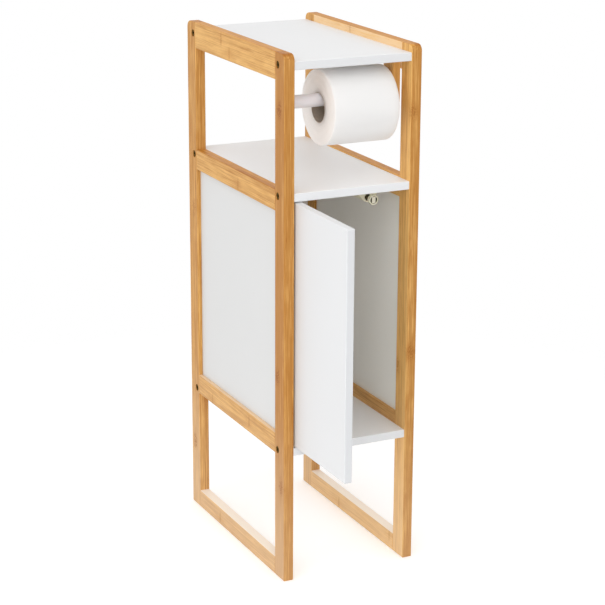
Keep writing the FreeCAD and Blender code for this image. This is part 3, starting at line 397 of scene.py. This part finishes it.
class Shader:
    """A node material, built up from its surface's sockets."""

    def __init__(self, name, **settings):
        self.material = bpy.data.materials.new(name)
        self.material.use_nodes = True
        self.tree = self.material.node_tree
        self.surface = self.tree.nodes["Principled BSDF"]
        for label, value in settings.items():
            self.set(label.replace("_", " "), value)

    def set(self, label, value):
        """Gives one of the surface's sockets a value, or the output that feeds it."""
        self.feed(self.surface.inputs[label], value)

    def add(self, kind, **settings):
        """A new node of a kind, with its settings."""
        node = self.tree.nodes.new(kind)
        for name, value in settings.items():
            setattr(node, name, value)
        return node

    def feed(self, socket, value):
        """Gives a socket a value, or links it to the output that feeds it."""
        if isinstance(value, bpy.types.NodeSocket):
            self.tree.links.new(value, socket)
        elif isinstance(value, tuple) and socket.type == "RGBA":
            socket.default_value = (*value, 1.0)
        else:
            socket.default_value = value

    def math(self, operation, *values):
        node = self.add("ShaderNodeMath", operation=operation)
        for socket, value in zip(node.inputs, values):
            self.feed(socket, value)
        return node.outputs[0]

    def hypot(self, first, second):
        """Length of the hypotenuse over two sides."""
        squares = [self.math("MULTIPLY", side, side) for side in (first, second)]
        return self.math("SQRT", self.math("ADD", *squares))

    def sway(self, value, pattern, weight):
        """Moves a value up and down with a pattern that runs about one half."""
        return self.math("MULTIPLY_ADD", self.math("SUBTRACT", pattern, HALF), weight, value)

    def place(self):
        """The point on the piece, in metres in its own frame."""
        return self.add("ShaderNodeTexCoord").outputs["Object"]

    def facing(self):
        """How squarely the face looks along the piece's own X, Y and Z."""
        return self.split(self.add("ShaderNodeTexCoord").outputs["Normal"])

    def split(self, vector):
        node = self.add("ShaderNodeSeparateXYZ")
        self.feed(node.inputs[0], vector)
        return tuple(node.outputs)

    def join(self, x, y, z):
        node = self.add("ShaderNodeCombineXYZ")
        for socket, value in zip(node.inputs, (x, y, z)):
            self.feed(socket, value)
        return node.outputs[0]

    def stretch(self, vector, scale, shift=(0.0, 0.0, 0.0)):
        """The place scaled along each axis, then shifted."""
        node = self.add("ShaderNodeMapping")
        self.feed(node.inputs["Vector"], vector)
        node.inputs["Scale"].default_value = scale
        node.inputs["Location"].default_value = shift
        return node.outputs[0]

    def noise(self, vector, scale=1.0, detail=3.0):
        node = self.add("ShaderNodeTexNoise")
        self.feed(node.inputs["Vector"], vector)
        node.inputs["Scale"].default_value = scale
        node.inputs["Detail"].default_value = detail
        return node.outputs[0]

    def chance(self, vector):
        """A random number for each whole-number cell."""
        node = self.add("ShaderNodeTexWhiteNoise")
        self.feed(node.inputs["Vector"], vector)
        return node.outputs["Value"]

    def ease(self, value, low, high, first=0.0, last=1.0):
        """Goes smoothly from first to last as the value goes from low to high."""
        node = self.add("ShaderNodeMapRange", interpolation_type="SMOOTHSTEP")
        ends = {"Value": value, "From Min": low, "From Max": high, "To Min": first, "To Max": last}
        for label, item in ends.items():
            self.feed(node.inputs[label], item)
        return node.outputs[0]

    def wobble(self, vector, scale, reach):
        """The same place, shifted to and fro by up to half the reach."""
        cloud = self.add("ShaderNodeTexNoise")
        self.feed(cloud.inputs["Vector"], vector)
        cloud.inputs["Scale"].default_value = scale
        node = self.add("ShaderNodeVectorMath", operation="MULTIPLY_ADD")
        self.feed(node.inputs[0], cloud.outputs["Color"])
        node.inputs[1].default_value = (reach, reach, reach)
        self.feed(node.inputs[2], vector)
        back = -reach / 2
        return self.stretch(node.outputs[0], UNCHANGED, (back, back, back))

    def away(self, vector, point, reach):
        """Distance from a point, as a share of the reach along each axis."""
        scale = tuple(1 / part for part in reach)
        shift = tuple(-part * size for part, size in zip(point, scale))
        node = self.add("ShaderNodeVectorMath", operation="LENGTH")
        self.feed(node.inputs[0], self.stretch(vector, scale, shift))
        return node.outputs["Value"]

    def mix(self, share, first, second, mode="MIX"):
        node = self.add("ShaderNodeMix", data_type="RGBA", blend_type=mode)
        colours = [socket for socket in node.inputs if socket.type == "RGBA"]
        self.feed(node.inputs[0], share)
        for socket, value in zip(colours, (first, second)):
            self.feed(socket, value)
        return next(socket for socket in node.outputs if socket.type == "RGBA")

    def tint(self, mask, colour, factor, weight=1.0):
        """Multiplies a colour by a factor where the mask is 1, as far as the weight says."""
        return self.mix(self.math("MULTIPLY", mask, weight), colour, factor, "MULTIPLY")

    def edges(self, reach):
        """Near 1 on rounded edges and near 0 on flat faces."""
        soft = self.add("ShaderNodeBevel", samples=EDGE_RAYS)
        soft.inputs["Radius"].default_value = reach
        flat = self.add("ShaderNodeNewGeometry").outputs["Normal"]
        node = self.add("ShaderNodeVectorMath", operation="DOT_PRODUCT")
        self.feed(node.inputs[0], soft.outputs[0])
        self.feed(node.inputs[1], flat)
        return self.ease(node.outputs["Value"], *EDGE_LEAN)

    def bump(self, height, depth, strength):
        node = self.add("ShaderNodeBump")
        self.feed(node.inputs["Height"], height)
        node.inputs["Distance"].default_value = depth
        node.inputs["Strength"].default_value = strength
        self.set("Normal", node.outputs[0])


# Bamboo

def along_grain(upright, cross, along):
    """Values for the three axes of a member, from those across and along its grain."""
    return (cross, cross, along) if upright else (cross, along, cross)


def line_mask(shader, value, width, line):
    """Thin lines between cells of one width, along a value."""
    share = shader.math("FRACT", shader.math("DIVIDE", value, width))
    away = shader.math("ABSOLUTE", shader.math("SUBTRACT", share, HALF))
    return shader.ease(away, HALF - line / width, HALF)


def curled_fibres(shader, place, upright):
    """Thin winding lines, as fibres run round a knot."""
    figure = shader.noise(shader.stretch(place, along_grain(upright, *CURL_SCALES)), detail=CURL_DETAIL)
    wave = shader.math("SINE", shader.math("MULTIPLY", figure, CURL_COUNT))
    return shader.ease(shader.math("ABSOLUTE", wave), *CURL_RANGE)


def knot_masks(shader, place, upright, corner, knots):
    """Curled fibres round each knot, the ring across the strip there, and the stained stretch beside it."""
    wobbly = shader.wobble(place, WOBBLE_SCALE, KNOT_WOBBLE)
    steady = shader.wobble(place, WOBBLE_SCALE, RING_WOBBLE)
    spots, rings, tails = 0.0, 0.0, 0.0
    for *offset, strength in knots:
        knot = corner + Vector(offset) * MM
        away = shader.away(wobbly, knot, along_grain(upright, *KNOT_REACH))
        spots = shader.math("MAXIMUM", shader.ease(away, *KNOT_FADE, 0.0, strength), spots)
        across = shader.away(steady, knot, along_grain(upright, *RING_REACH))
        rings = shader.math("MAXIMUM", shader.ease(across, *RING_FADE, 0.0, strength), rings)
        beside = shader.away(wobbly, knot, along_grain(upright, *STAIN_REACH))
        tails = shader.math("MAXIMUM", shader.ease(beside, *STAIN_FADE), tails)
    return shader.math("MULTIPLY", spots, curled_fibres(shader, place, upright)), rings, tails


def strips(shader, x, width, seed):
    """A random number for each strip of each ply, and the glue lines between them."""
    ply_place = shader.math("ADD", x, seed * STRIP + PLY * PLY_START_SHARE)
    ply = shader.math("FLOOR", shader.math("DIVIDE", ply_place, PLY))
    strip_place = shader.math("ADD", width, shader.math("MULTIPLY", ply, STRIP * STRIP_STAGGER_SHARE))
    strip = shader.math("FLOOR", shader.math("DIVIDE", strip_place, STRIP))
    pick = shader.chance(shader.join(ply, strip, float(seed)))
    ply_lines = line_mask(shader, ply_place, PLY, GLUE_LINE)
    strip_lines = line_mask(shader, strip_place, STRIP, GLUE_LINE)
    return pick, shader.math("MAXIMUM", ply_lines, strip_lines)


def grain_patterns(shader, place, upright, seed):
    """The noises along the grain, and the lines in the streaks."""
    shift = tuple(seed * part for part in GRAIN_SHIFT)
    patterns = {}
    for label, (cross, along, detail) in GRAIN.items():
        drawn_out = shader.stretch(place, along_grain(upright, cross, along), shift)
        patterns[label] = shader.noise(drawn_out, detail=detail)
    patterns["lines"] = shader.ease(patterns["streak"], *LINE_RANGE)
    return patterns


def member_tone(shader, name, x, front, outer_tone, inner_tone):
    """Tone from dark to pale through the stock, and one darker tone on the front faces of the uprights as
    painted shade.
    """
    inner_x, outer_x = sorted(abs(corner.x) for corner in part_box(name))
    slope = (outer_tone - inner_tone) / (outer_x - inner_x)
    tone = shader.math("MULTIPLY_ADD", shader.math("ABSOLUTE", x), slope, inner_tone - inner_x * slope)
    if not name.endswith("upright"):
        return tone
    # Painted shade: the uprights' front faces take one darker tone
    mask = shader.ease(front, *FRONT_FACE)
    return shader.math("MULTIPLY_ADD", mask, shader.math("SUBTRACT", FRONT_SHADE_TONE, tone), tone)


def grain_colour(shader, tone, pick, glue, patterns, weights):
    """Colour of the strips, with the flecks and glue lines in them."""
    spread = shader.sway(tone, pick, STRIP_WEIGHT)
    for label in TONE_PATTERNS:
        spread = shader.sway(spread, patterns[label], weights[label])
    colour = shader.mix(shader.ease(spread, *PALE_RANGE), BAMBOO_DARK, BAMBOO_PALE)
    colour = shader.mix(shader.ease(spread, *CREAM_RANGE), colour, BAMBOO_CREAM)
    flecks = shader.ease(patterns["fleck"], *FLECK_RANGE)
    colour = shader.tint(flecks, colour, FLECK_TINT, weights["fleck"])
    return shader.tint(glue, colour, GLUE_TINT, GLUE_WEIGHT)


def low_painted_light(shader, z, front):
    """How far a member is paler towards the floor as painted light, and less so on its front face."""
    low = shader.ease(z, LOW_PAINTED_LIGHT_REACH, 0.0, 0.0, LOW_PAINTED_LIGHT_SHARE)
    return shader.math("MULTIPLY", low, shader.ease(front, *FRONT_FACE, 1.0, FRONT_PAINTED_LIGHT_SHARE))


def top_light_and_shade(shader, name, colour, up):
    """Darker upper faces as painted shade, or paler ones as painted light."""
    if name.endswith(SHADED_TOPS):
        tint = DEEP_TOP_SHADE_TINT if name in DEEPLY_SHADED_TOPS else TOP_FACE_SHADE_TINT
        return shader.tint(shader.ease(up, *UPPER_FACE), colour, tint)
    for ending, share in TOP_PAINTED_LIGHT_SHARES.items():
        if name.endswith(ending):
            colour = shader.mix(shader.ease(up, *UPPER_FACE, 0.0, share), colour, TOP_PAINTED_LIGHT_COLOUR)
    return colour


def bamboo(name, seed, outer_tone, inner_tone, knots):
    """Laminated bamboo with its grain along the member, painted light and shade on some faces, and a painted
    highlight on its rounded edges.
    """
    upright = name.endswith(("upright", "bracket"))
    weights = UPRIGHT_WEIGHTS if upright else RAIL_WEIGHTS
    shader = Shader(name + "_bamboo", **LACQUER)
    place = shader.place()
    x, y, z = shader.split(place)
    _, front, up = shader.facing()
    patterns = grain_patterns(shader, place, upright, seed)
    pick, glue = strips(shader, x, y if upright else z, seed)
    tone = member_tone(shader, name, x, front, outer_tone, inner_tone)
    colour = grain_colour(shader, tone, pick, glue, patterns, weights)
    # Painted light: paler towards the floor, less so on the front faces
    colour = shader.mix(low_painted_light(shader, z, front), colour, LOW_PAINTED_LIGHT_COLOUR)
    loop, ring, tail = knot_masks(shader, place, upright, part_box(name)[0], knots)
    stain = shader.math("MULTIPLY", tail, shader.ease(patterns["streak"], *STAIN_RANGE))
    for label, mask in (("loop", loop), ("ring", ring), ("stain", stain)):
        colour = shader.tint(mask, colour, KNOT_TINT, weights[label])
    # Painted highlight along the rounded edges
    colour = shader.tint(shader.edges(EDGE_REACH), colour, EDGE_HIGHLIGHT_TINT)
    # Upper faces darker as painted shade on rails and uprights, paler as painted light on the lower rails
    shader.set("Base Color", top_light_and_shade(shader, name, colour, up))
    shader.set("Roughness", shader.ease(patterns["fibre"], *FIBRE_RANGE, *LACQUER_ROUGHNESS))
    grooves = shader.math("MULTIPLY", shader.math("MAXIMUM", ring, glue), GROOVE_WEIGHT)
    shader.bump(shader.math("SUBTRACT", patterns["fibre"], grooves), **BAMBOO_BUMP)
    return shader.material


# Paint, metal, plastic, paper and card

def scaled(colour, share):
    """A colour, paler or darker by one share."""
    return tuple(part * share for part in colour)


def paint(name, colour, seed):
    """Satin white paint with a roller's faint texture and rubbed spots, a painted highlight on rounded edges,
    painted shade on some boards' front and rear faces, and another white on some faces as painted light and
    shade.
    """
    shader = Shader(name + "_paint", Specular_IOR_Level=PAINT_SPECULAR)
    place = shader.stretch(shader.place(), UNCHANGED, tuple(seed * share for share in PAINT_SEED_SHARES))
    cloud = shader.noise(place, **PAINT_CLOUD)
    grain = shader.noise(place, **PAINT_GRAIN)
    rub = shader.ease(shader.noise(shader.stretch(place, RUB_STRETCH), detail=RUB_DETAIL), *RUB_RANGE)
    shade = shader.mix(cloud, scaled(colour, PAINT_CLOUD_SHARE), colour)
    shade = shader.tint(rub, shade, RUB_TINT, RUB_WEIGHT)
    # Painted highlight on the rounded edges
    shade = shader.tint(shader.edges(EDGE_REACH), shade, PAINT_EDGE_HIGHLIGHT_TINT, PAINT_EDGE_HIGHLIGHT_WEIGHT)
    right, front, _ = shader.facing()
    # Painted shade: greyer front and rear faces of the boards
    if name in EDGE_SHADE_TINTS:
        edge_shade = shader.ease(shader.math("ABSOLUTE", front), *SQUARE_FACE)
        shade = shader.tint(edge_shade, shade, EDGE_SHADE_TINTS[name])
    # Painted shade: the side panels and the door are greyer on their outer faces
    if name in RIGHT_FACE_LIGHT_AND_SHADE:
        shade = shader.mix(shader.ease(right, *SQUARE_FACE), shade, RIGHT_FACE_LIGHT_AND_SHADE[name])
    shader.set("Base Color", shade)
    rough = shader.sway(PAINT_ROUGHNESS, cloud, PAINT_CLOUD_ROUGHNESS)
    shader.set("Roughness", shader.math("MULTIPLY_ADD", rub, RUB_ROUGHNESS, rough))
    shader.bump(shader.math("MULTIPLY_ADD", cloud, PAINT_CLOUD_HEIGHT, grain), **PAINT_BUMP)
    return shader.material


def metal(name, colour, worn, roughness, marks, seed, glance=WHITE):
    """Bare or blackened metal with fine tool marks, darker spots and rubbed edges."""
    shader = Shader(name, Metallic=METALNESS, Specular_Tint=glance)
    place = shader.place()
    streak = shader.noise(shader.stretch(place, marks, (seed, seed, seed)), detail=MARK_DETAIL)
    spot = shader.noise(place, **SPOT_NOISE)
    stained = shader.ease(spot, *SPOT_RANGE, 0.0, SPOT_WEIGHT)
    shade = shader.mix(stained, colour, scaled(colour, SPOT_SHARE))
    rubbed = shader.math("MULTIPLY", shader.edges(WORN_REACH), shader.ease(spot, *WORN_RANGE))
    shader.set("Base Color", shader.mix(rubbed, shade, worn))
    shader.set("Roughness", shader.sway(roughness, streak, MARK_ROUGHNESS))
    shader.bump(streak, **METAL_BUMP)
    return shader.material


def recess_mask(shader, node):
    """Near 1 inside the round recess in a piece's front face."""
    low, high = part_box(node)
    centre = (low + high) / 2
    x, y, z = shader.split(shader.stretch(shader.place(), UNCHANGED, (-centre.x, -low.y, -centre.z)))
    within = shader.ease(shader.hypot(x, z), RECESS_RIM + RECESS_RIM_SOFTNESS, RECESS_RIM)
    return shader.math("MULTIPLY", within, shader.ease(y, *RECESS_DEPTHS))


def plastic(name, colour, roughness, grain, seed, hollow=None):
    """Moulded plastic with flow clouds, a fine skin and paler edges as a painted highlight, and painted shade
    in a hollow node's recess.
    """
    shader = Shader(name, **MOULDED)
    place = shader.stretch(shader.place(), UNCHANGED, (seed, seed, seed))
    flow = shader.noise(place, **FLOW_NOISE)
    skin = shader.noise(place, grain, SKIN_DETAIL)
    shade = shader.mix(flow, scaled(colour, FLOW_SHARE), colour)
    # Painted highlight on the rounded edges
    shade = shader.tint(shader.edges(MOULD_EDGE_REACH), shade, MOULD_EDGE_HIGHLIGHT_TINT, MOULD_EDGE_HIGHLIGHT_WEIGHT)
    if hollow:
        # Painted shade in the recess
        shade = shader.tint(recess_mask(shader, hollow), shade, RECESS_SHADE_TINT)
    shader.set("Base Color", shade)
    shader.set("Roughness", shader.sway(roughness, flow, FLOW_ROUGHNESS))
    shader.bump(skin, **PLASTIC_BUMP)
    return shader.material


def round_place(shader, place):
    """Place along a piece's own X axis, angle about it and distance from it."""
    x, y, z = shader.split(place)
    return x, shader.math("ARCTAN2", z, y), shader.hypot(y, z)


def end_mask(shader):
    """Near 1 on faces that look along a piece's own X axis."""
    along, _, _ = shader.facing()
    return shader.ease(shader.math("ABSOLUTE", along), *ROLL_END_FACE)


def dimples(shader, x, angle, radius):
    """A fine embossed pattern round the roll."""
    node = shader.add("ShaderNodeTexVoronoi", feature="SMOOTH_F1")
    shader.feed(node.inputs["Vector"], shader.join(x, shader.math("MULTIPLY", angle, radius), 0.0))
    node.inputs["Scale"].default_value = DIMPLE_SCALE
    return node.outputs["Distance"]


def tissue(name, outer_radius):
    """Soft paper: a fine embossed dimple all over, and the edges of the windings on the ends, which are paler
    and warmer than the face as painted light and a painted warm bounce.
    """
    shader = Shader(name, **TISSUE)
    place = shader.place()
    x, angle, radius = round_place(shader, place)
    ends = end_mask(shader)
    fluff = shader.noise(place, **FLUFF_NOISE)
    cloud = shader.noise(shader.stretch(place, TISSUE_CLOUD_STRETCH), detail=TISSUE_CLOUD_DETAIL)
    wound = shader.join(shader.math("MULTIPLY", radius, LAYER_SCALE),
                        shader.math("MULTIPLY", angle, LAYER_TWIST), 0.0)
    layer = shader.noise(wound, detail=LAYER_DETAIL)
    face = shader.mix(cloud, *TISSUE_FACE)
    # Painted light: the ends are paler and warmer than the face
    end = shader.mix(shader.ease(layer, *LAYER_RANGE), *TISSUE_END_LIT)
    shader.set("Base Color", shader.mix(ends, face, end))
    shader.set("Roughness", shader.ease(fluff, *FLUFF_RANGE, *FLUFF_ROUGHNESS))
    pattern = shader.math("MULTIPLY_ADD", fluff, FLUFF_HEIGHT, dimples(shader, x, angle, outer_radius))
    pressed = shader.math("MULTIPLY", layer, ends)
    shader.bump(shader.math("MULTIPLY_ADD", pressed, LAYER_HEIGHT, pattern), **TISSUE_BUMP)
    return shader.material


def cardboard(name):
    """Grey-brown board with pulp fibres, a darker seam line and paler cut ends."""
    shader = Shader(name, Specular_IOR_Level=CARD_SPECULAR)
    place = shader.place()
    x, angle, _ = round_place(shader, place)
    pulp = shader.noise(place, **PULP_NOISE)
    fibre = shader.noise(shader.stretch(place, CARD_FIBRE_STRETCH), detail=CARD_FIBRE_DETAIL)
    turn = shader.math("SUBTRACT", shader.math("DIVIDE", x, SEAM_PITCH), shader.math("DIVIDE", angle, TURN))
    shade = shader.mix(pulp, *CARD_COLOURS)
    shade = shader.tint(shader.ease(fibre, *CARD_FIBRE_RANGE), shade, CARD_FIBRE_TINT, CARD_FIBRE_WEIGHT)
    shade = shader.tint(line_mask(shader, turn, 1.0, SEAM_LINE_SHARE), shade, SEAM_TINT, SEAM_WEIGHT)
    shader.set("Base Color", shader.mix(end_mask(shader), shade, CARD_END))
    shader.set("Roughness", shader.ease(pulp, *PULP_RANGE, *CARD_ROUGHNESS))
    shader.bump(shader.math("ADD", pulp, fibre), **CARD_BUMP)
    return shader.material


def raw_wood(name):
    """Pale turned dowel wood."""
    shader = Shader(name)
    grain = shader.noise(shader.stretch(shader.place(), DOWEL_STRETCH), detail=DOWEL_DETAIL)
    shader.set("Base Color", shader.mix(grain, *DOWEL_COLOURS))
    shader.set("Roughness", shader.ease(grain, *DOWEL_RANGE, *DOWEL_ROUGHNESS))
    shader.bump(grain, **DOWEL_BUMP)
    return shader.material


def dress(name, material):
    """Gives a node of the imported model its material."""
    mesh = nodes[name].data
    mesh.materials.clear()
    mesh.materials.append(material)


def dress_all():
    """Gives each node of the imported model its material, apart from the paper and its core."""
    for seed, (name, look) in enumerate(MEMBERS.items(), start=1):
        dress(name, bamboo(name, seed, *look))
    for seed, (name, white) in enumerate(PAINTED.items(), start=1):
        dress(name, paint(name, white, PAINT_SEED_STEP * seed))
    shared = {name: metal(name, **look) for name, look in METALS.items()}
    shared.update({name: plastic(name, **look) for name, look in PLASTICS.items()})
    shared["dowel_wood"] = raw_wood("dowel_wood")
    for label, wearers in WEARERS.items():
        for name in wearers:
            dress(name, shared[label])


# Toilet roll

def add_piece(name, data):
    """A new object in the scene."""
    piece = bpy.data.objects.new(name, data)
    bpy.context.scene.collection.objects.link(piece)
    return piece


def ring_piece(name, rows, centre, material):
    """A closed mesh from rings of points, each joined to the next and the last to the first."""
    count = len(rows[0])
    points = [point for row in rows for point in row]
    faces = []
    for row in range(len(rows)):
        following = (row + 1) % len(rows)
        for column in range(count):
            beside = (column + 1) % count
            faces.append((row * count + column, row * count + beside,
                          following * count + beside, following * count + column))
    mesh = bpy.data.meshes.new(name)
    mesh.from_pydata(points, [], faces)
    mesh.polygons.foreach_set("use_smooth", [True] * len(faces))
    mesh.set_sharp_from_angle(angle=SHARP_ANGLE)
    mesh.materials.append(material)
    piece = add_piece(name, mesh)
    piece.location = centre
    return piece


def middle_and_size(node):
    """The middle of a node's box, and its size along each axis."""
    low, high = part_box(node)
    return (low + high) / 2, high - low


def bands(angle):
    """How far the wound sheets stand in at an angle, from 0 to the bands' depth."""
    total = sum(share * math.cos(count * angle + phase) for count, phase, share in BANDS)
    return BAND_DEPTH * (1 - total) / 2


def winding(radius, angle):
    """How far a sheet's edge stands in on the roll's end."""
    ridge = HALF - HALF * math.cos(TURN * radius / WINDING_PITCH - angle)
    sway = TELESCOPE_SWAY * math.sin(angle) + TELESCOPE_START
    wander = HALF - HALF * math.sin(TURN * radius / TELESCOPE_PITCH + sway)
    return WINDING_DEPTH * ridge + TELESCOPE_DEPTH * wander


def roll_profile(inner, outer, half):
    """Half of the roll's section, from the core out to the middle of the face: place, radius and kind."""
    rise = outer - ROLL_CORNER - inner
    steps = [(half, inner + rise * i / ROLL_END_STEPS, "end") for i in range(ROLL_END_STEPS)]
    for i in range(ROLL_CORNER_STEPS + 1):
        turn = TURN / 4 * i / ROLL_CORNER_STEPS
        along = half - ROLL_CORNER + ROLL_CORNER * math.cos(turn)
        steps.append((along, outer - ROLL_CORNER + ROLL_CORNER * math.sin(turn), "corner"))
    reach = half - ROLL_CORNER
    steps += [(reach * (1 - i / ROLL_FACE_STEPS), outer, "face") for i in range(1, ROLL_FACE_STEPS)]
    return steps


def roll_ring(along, radius, kind, outer):
    """One ring of the roll's surface, with its windings or bands."""
    ring = []
    side = 1 if along > 0 else -1
    for column in range(ROLL_COLUMNS):
        share = column / (ROLL_COLUMNS - 1)
        angle = SHEET_EDGE_ANGLE + TURN * share * (1 - SHEET_GAP_SHARE)
        dip = (SHEET_STEP * share + bands(angle)) * radius / outer
        inset = winding(radius, angle) if kind == "end" else 0.0
        x = along - side * inset
        ring.append((x, (radius - dip) * math.cos(angle), (radius - dip) * math.sin(angle)))
    return ring


def make_paper():
    """The wound paper, with the outer sheet's edge."""
    centre, extent = middle_and_size("roll_paper")
    core_extent = middle_and_size("roll_core")[1]
    outer = extent.y / 2
    half = extent.x / 2
    right = roll_profile(core_extent.y / 2, outer, half)
    left = [(-along, radius, kind) for along, radius, kind in reversed(right)]
    section = right + [(0.0, outer, "face")] + left
    rows = [roll_ring(along, radius, kind, outer) for along, radius, kind in section]
    paper = ring_piece("paper_roll", rows, centre, tissue("tissue_paper_sheets", outer))
    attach(paper, "roll")
    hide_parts("roll_paper")


def seam_depth(along, angle):
    """The inner ply's spiral gap."""
    turn = (along / SEAM_PITCH - angle / TURN) % 1.0
    away = min(turn, 1.0 - turn) / SEAM_WIDTH_SHARE
    return SEAM_DEPTH * max(0.0, 1.0 - away * away)


def core_ring(along, radius, inside):
    """One ring of the core's surface, with the seam where it is the inside."""
    ring = []
    for column in range(CORE_COLUMNS):
        angle = TURN * column / CORE_COLUMNS
        here = radius + (seam_depth(along, angle) if inside else 0.0)
        ring.append((along, here * math.cos(angle), here * math.sin(angle)))
    return ring


def make_core():
    """The cardboard tube in the roll."""
    centre, extent = middle_and_size("roll_core")
    outer = extent.y / 2
    inner = outer - CORE_WALL
    half = extent.x / 2
    places = [half - extent.x * i / CORE_ROWS for i in range(CORE_ROWS + 1)]
    rows = [core_ring(along, outer - CORE_CLEARANCE, False) for along in places]
    rows += [core_ring(along, inner, True) for along in reversed(places)]
    core = ring_piece("cardboard_core", rows, centre, cardboard("core_cardboard"))
    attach(core, "roll")
    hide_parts("roll_core")


# Springs


def make_springs():
    """Copies of the springs, each carried by its body."""
    for node, (body, joint, axis, fixed_high) in SPRINGS.items():
        spring = add_piece(node + "_coil", nodes[node].data.copy())
        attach(spring, body)
        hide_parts(node)
        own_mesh(spring)


# Floor, light and camera

def seen(tree):
    """1 where the camera, a reflection or glass shows the surface, and 0 where it only gives light."""
    rays = tree.nodes.new("ShaderNodeLightPath")
    shown = rays.outputs["Is Camera Ray"]
    for label in ("Is Glossy Ray", "Is Transmission Ray"):
        either = tree.nodes.new("ShaderNodeMath")
        either.operation = "MAXIMUM"
        tree.links.new(shown, either.inputs[0])
        tree.links.new(rays.outputs[label], either.inputs[1])
        shown = either.outputs[0]
    return shown


def floor_paint():
    """Pale floor that fades out with the distance from the stand."""
    shader = Shader("floor_white", Roughness=FLOOR_ROUGHNESS, Specular_IOR_Level=FLOOR_SPECULAR,
                    Emission_Color=FLOOR_COLOUR)
    shader.set("Emission Strength", shader.math("MULTIPLY", seen(shader.tree), FLOOR_GLOW))
    place = shader.place()
    cloud = shader.noise(place, **FLOOR_CLOUD)
    shader.set("Base Color", shader.mix(cloud, FLOOR_COLOUR, scaled(FLOOR_COLOUR, FLOOR_PALER_SHARE)))
    away = shader.add("ShaderNodeVectorMath", operation="LENGTH")
    shader.feed(away.inputs[0], place)
    shader.set("Alpha", shader.ease(away.outputs["Value"], *FLOOR_FADE, 1.0, 0.0))
    return shader.material


def make_floor():
    """A pale floor sheet, cut into cells."""
    side = FLOOR_CELLS + 1
    places = [-FLOOR_HALF + 2 * FLOOR_HALF * i / FLOOR_CELLS for i in range(side)]
    points = [(x, y, -FLOOR_DROP) for y in places for x in places]
    corners = [row * side + column for row in range(FLOOR_CELLS) for column in range(FLOOR_CELLS)]
    faces = [(corner, corner + 1, corner + 1 + side, corner + side) for corner in corners]
    mesh = bpy.data.meshes.new("floor")
    mesh.from_pydata(points, [], faces)
    mesh.materials.append(floor_paint())
    floor = add_piece("floor", mesh)


def tent_strength(tree):
    """The tent's light by direction, from its front to its brighter back."""
    split = tree.nodes.new("ShaderNodeSeparateXYZ")
    tree.links.new(tree.nodes.new("ShaderNodeTexCoord").outputs["Generated"], split.inputs[0])
    deepen = tree.nodes.new("ShaderNodeMapRange")
    ends = {"From Min": 0.0, "From Max": TENT_BACK_FROM, "To Min": TENT_FRONT, "To Max": TENT_BACK}
    for label, value in ends.items():
        deepen.inputs[label].default_value = value
    tree.links.new(split.outputs["Y"], deepen.inputs["Value"])
    return deepen.outputs[0]


def make_world():
    """White where it is seen, and a tent that is brighter behind where it only gives light."""
    world = bpy.data.worlds.new("tent")
    bpy.context.scene.world = world
    world.use_nodes = True
    tree = world.node_tree
    backdrop = tree.nodes["Background"]
    tent = tree.nodes.new("ShaderNodeBackground")
    for light in (backdrop, tent):
        light.inputs["Color"].default_value = (*WHITE, 1.0)
    choose = tree.nodes.new("ShaderNodeMixShader")
    tree.links.new(tent_strength(tree), tent.inputs["Strength"])
    tree.links.new(seen(tree), choose.inputs[0])
    tree.links.new(tent.outputs[0], choose.inputs[1])
    tree.links.new(backdrop.outputs[0], choose.inputs[2])
    tree.links.new(choose.outputs[0], tree.nodes["World Output"].inputs["Surface"])


def make_lamps():
    """Soft round lamps that look at the stand."""
    for name, lamp in LAMPS.items():
        data = bpy.data.lights.new(name, "AREA")
        data.shape = "DISK"
        data.size = lamp["size"]
        data.energy = lamp["power"]
        light = add_piece(name, data)
        light.location = lamp["place"]
        light.rotation_euler = (LAMP_TARGET - light.location).to_track_quat("-Z", "Y").to_euler()


def make_camera():
    """The photograph's viewpoint."""
    level = math.cos(CAMERA_PITCH)
    forward = Vector((math.sin(CAMERA_YAW) * level, math.cos(CAMERA_YAW) * level, -math.sin(CAMERA_PITCH)))
    right = Vector((math.cos(CAMERA_YAW), -math.sin(CAMERA_YAW), 0.0))
    down = forward.cross(right)
    across = right * math.cos(CAMERA_ROLL) + down * math.sin(CAMERA_ROLL)
    up = right * math.sin(CAMERA_ROLL) - down * math.cos(CAMERA_ROLL)
    data = bpy.data.cameras.new("camera")
    data.sensor_fit = "HORIZONTAL"
    data.sensor_width = SENSOR_WIDTH
    data.lens = FOCAL_PIXELS / IMAGE_PIXELS * SENSOR_WIDTH
    camera = add_piece("camera", data)
    turn = Matrix((across, up, -forward)).transposed()
    camera.matrix_world = Matrix.Translation(CAMERA_PLACE) @ turn.to_4x4()
    bpy.context.scene.camera = camera


bpy.context.scene.view_settings.view_transform = "Standard"
dress_all()
make_paper()
make_core()
make_springs()
make_floor()
make_world()
make_lamps()
make_camera()
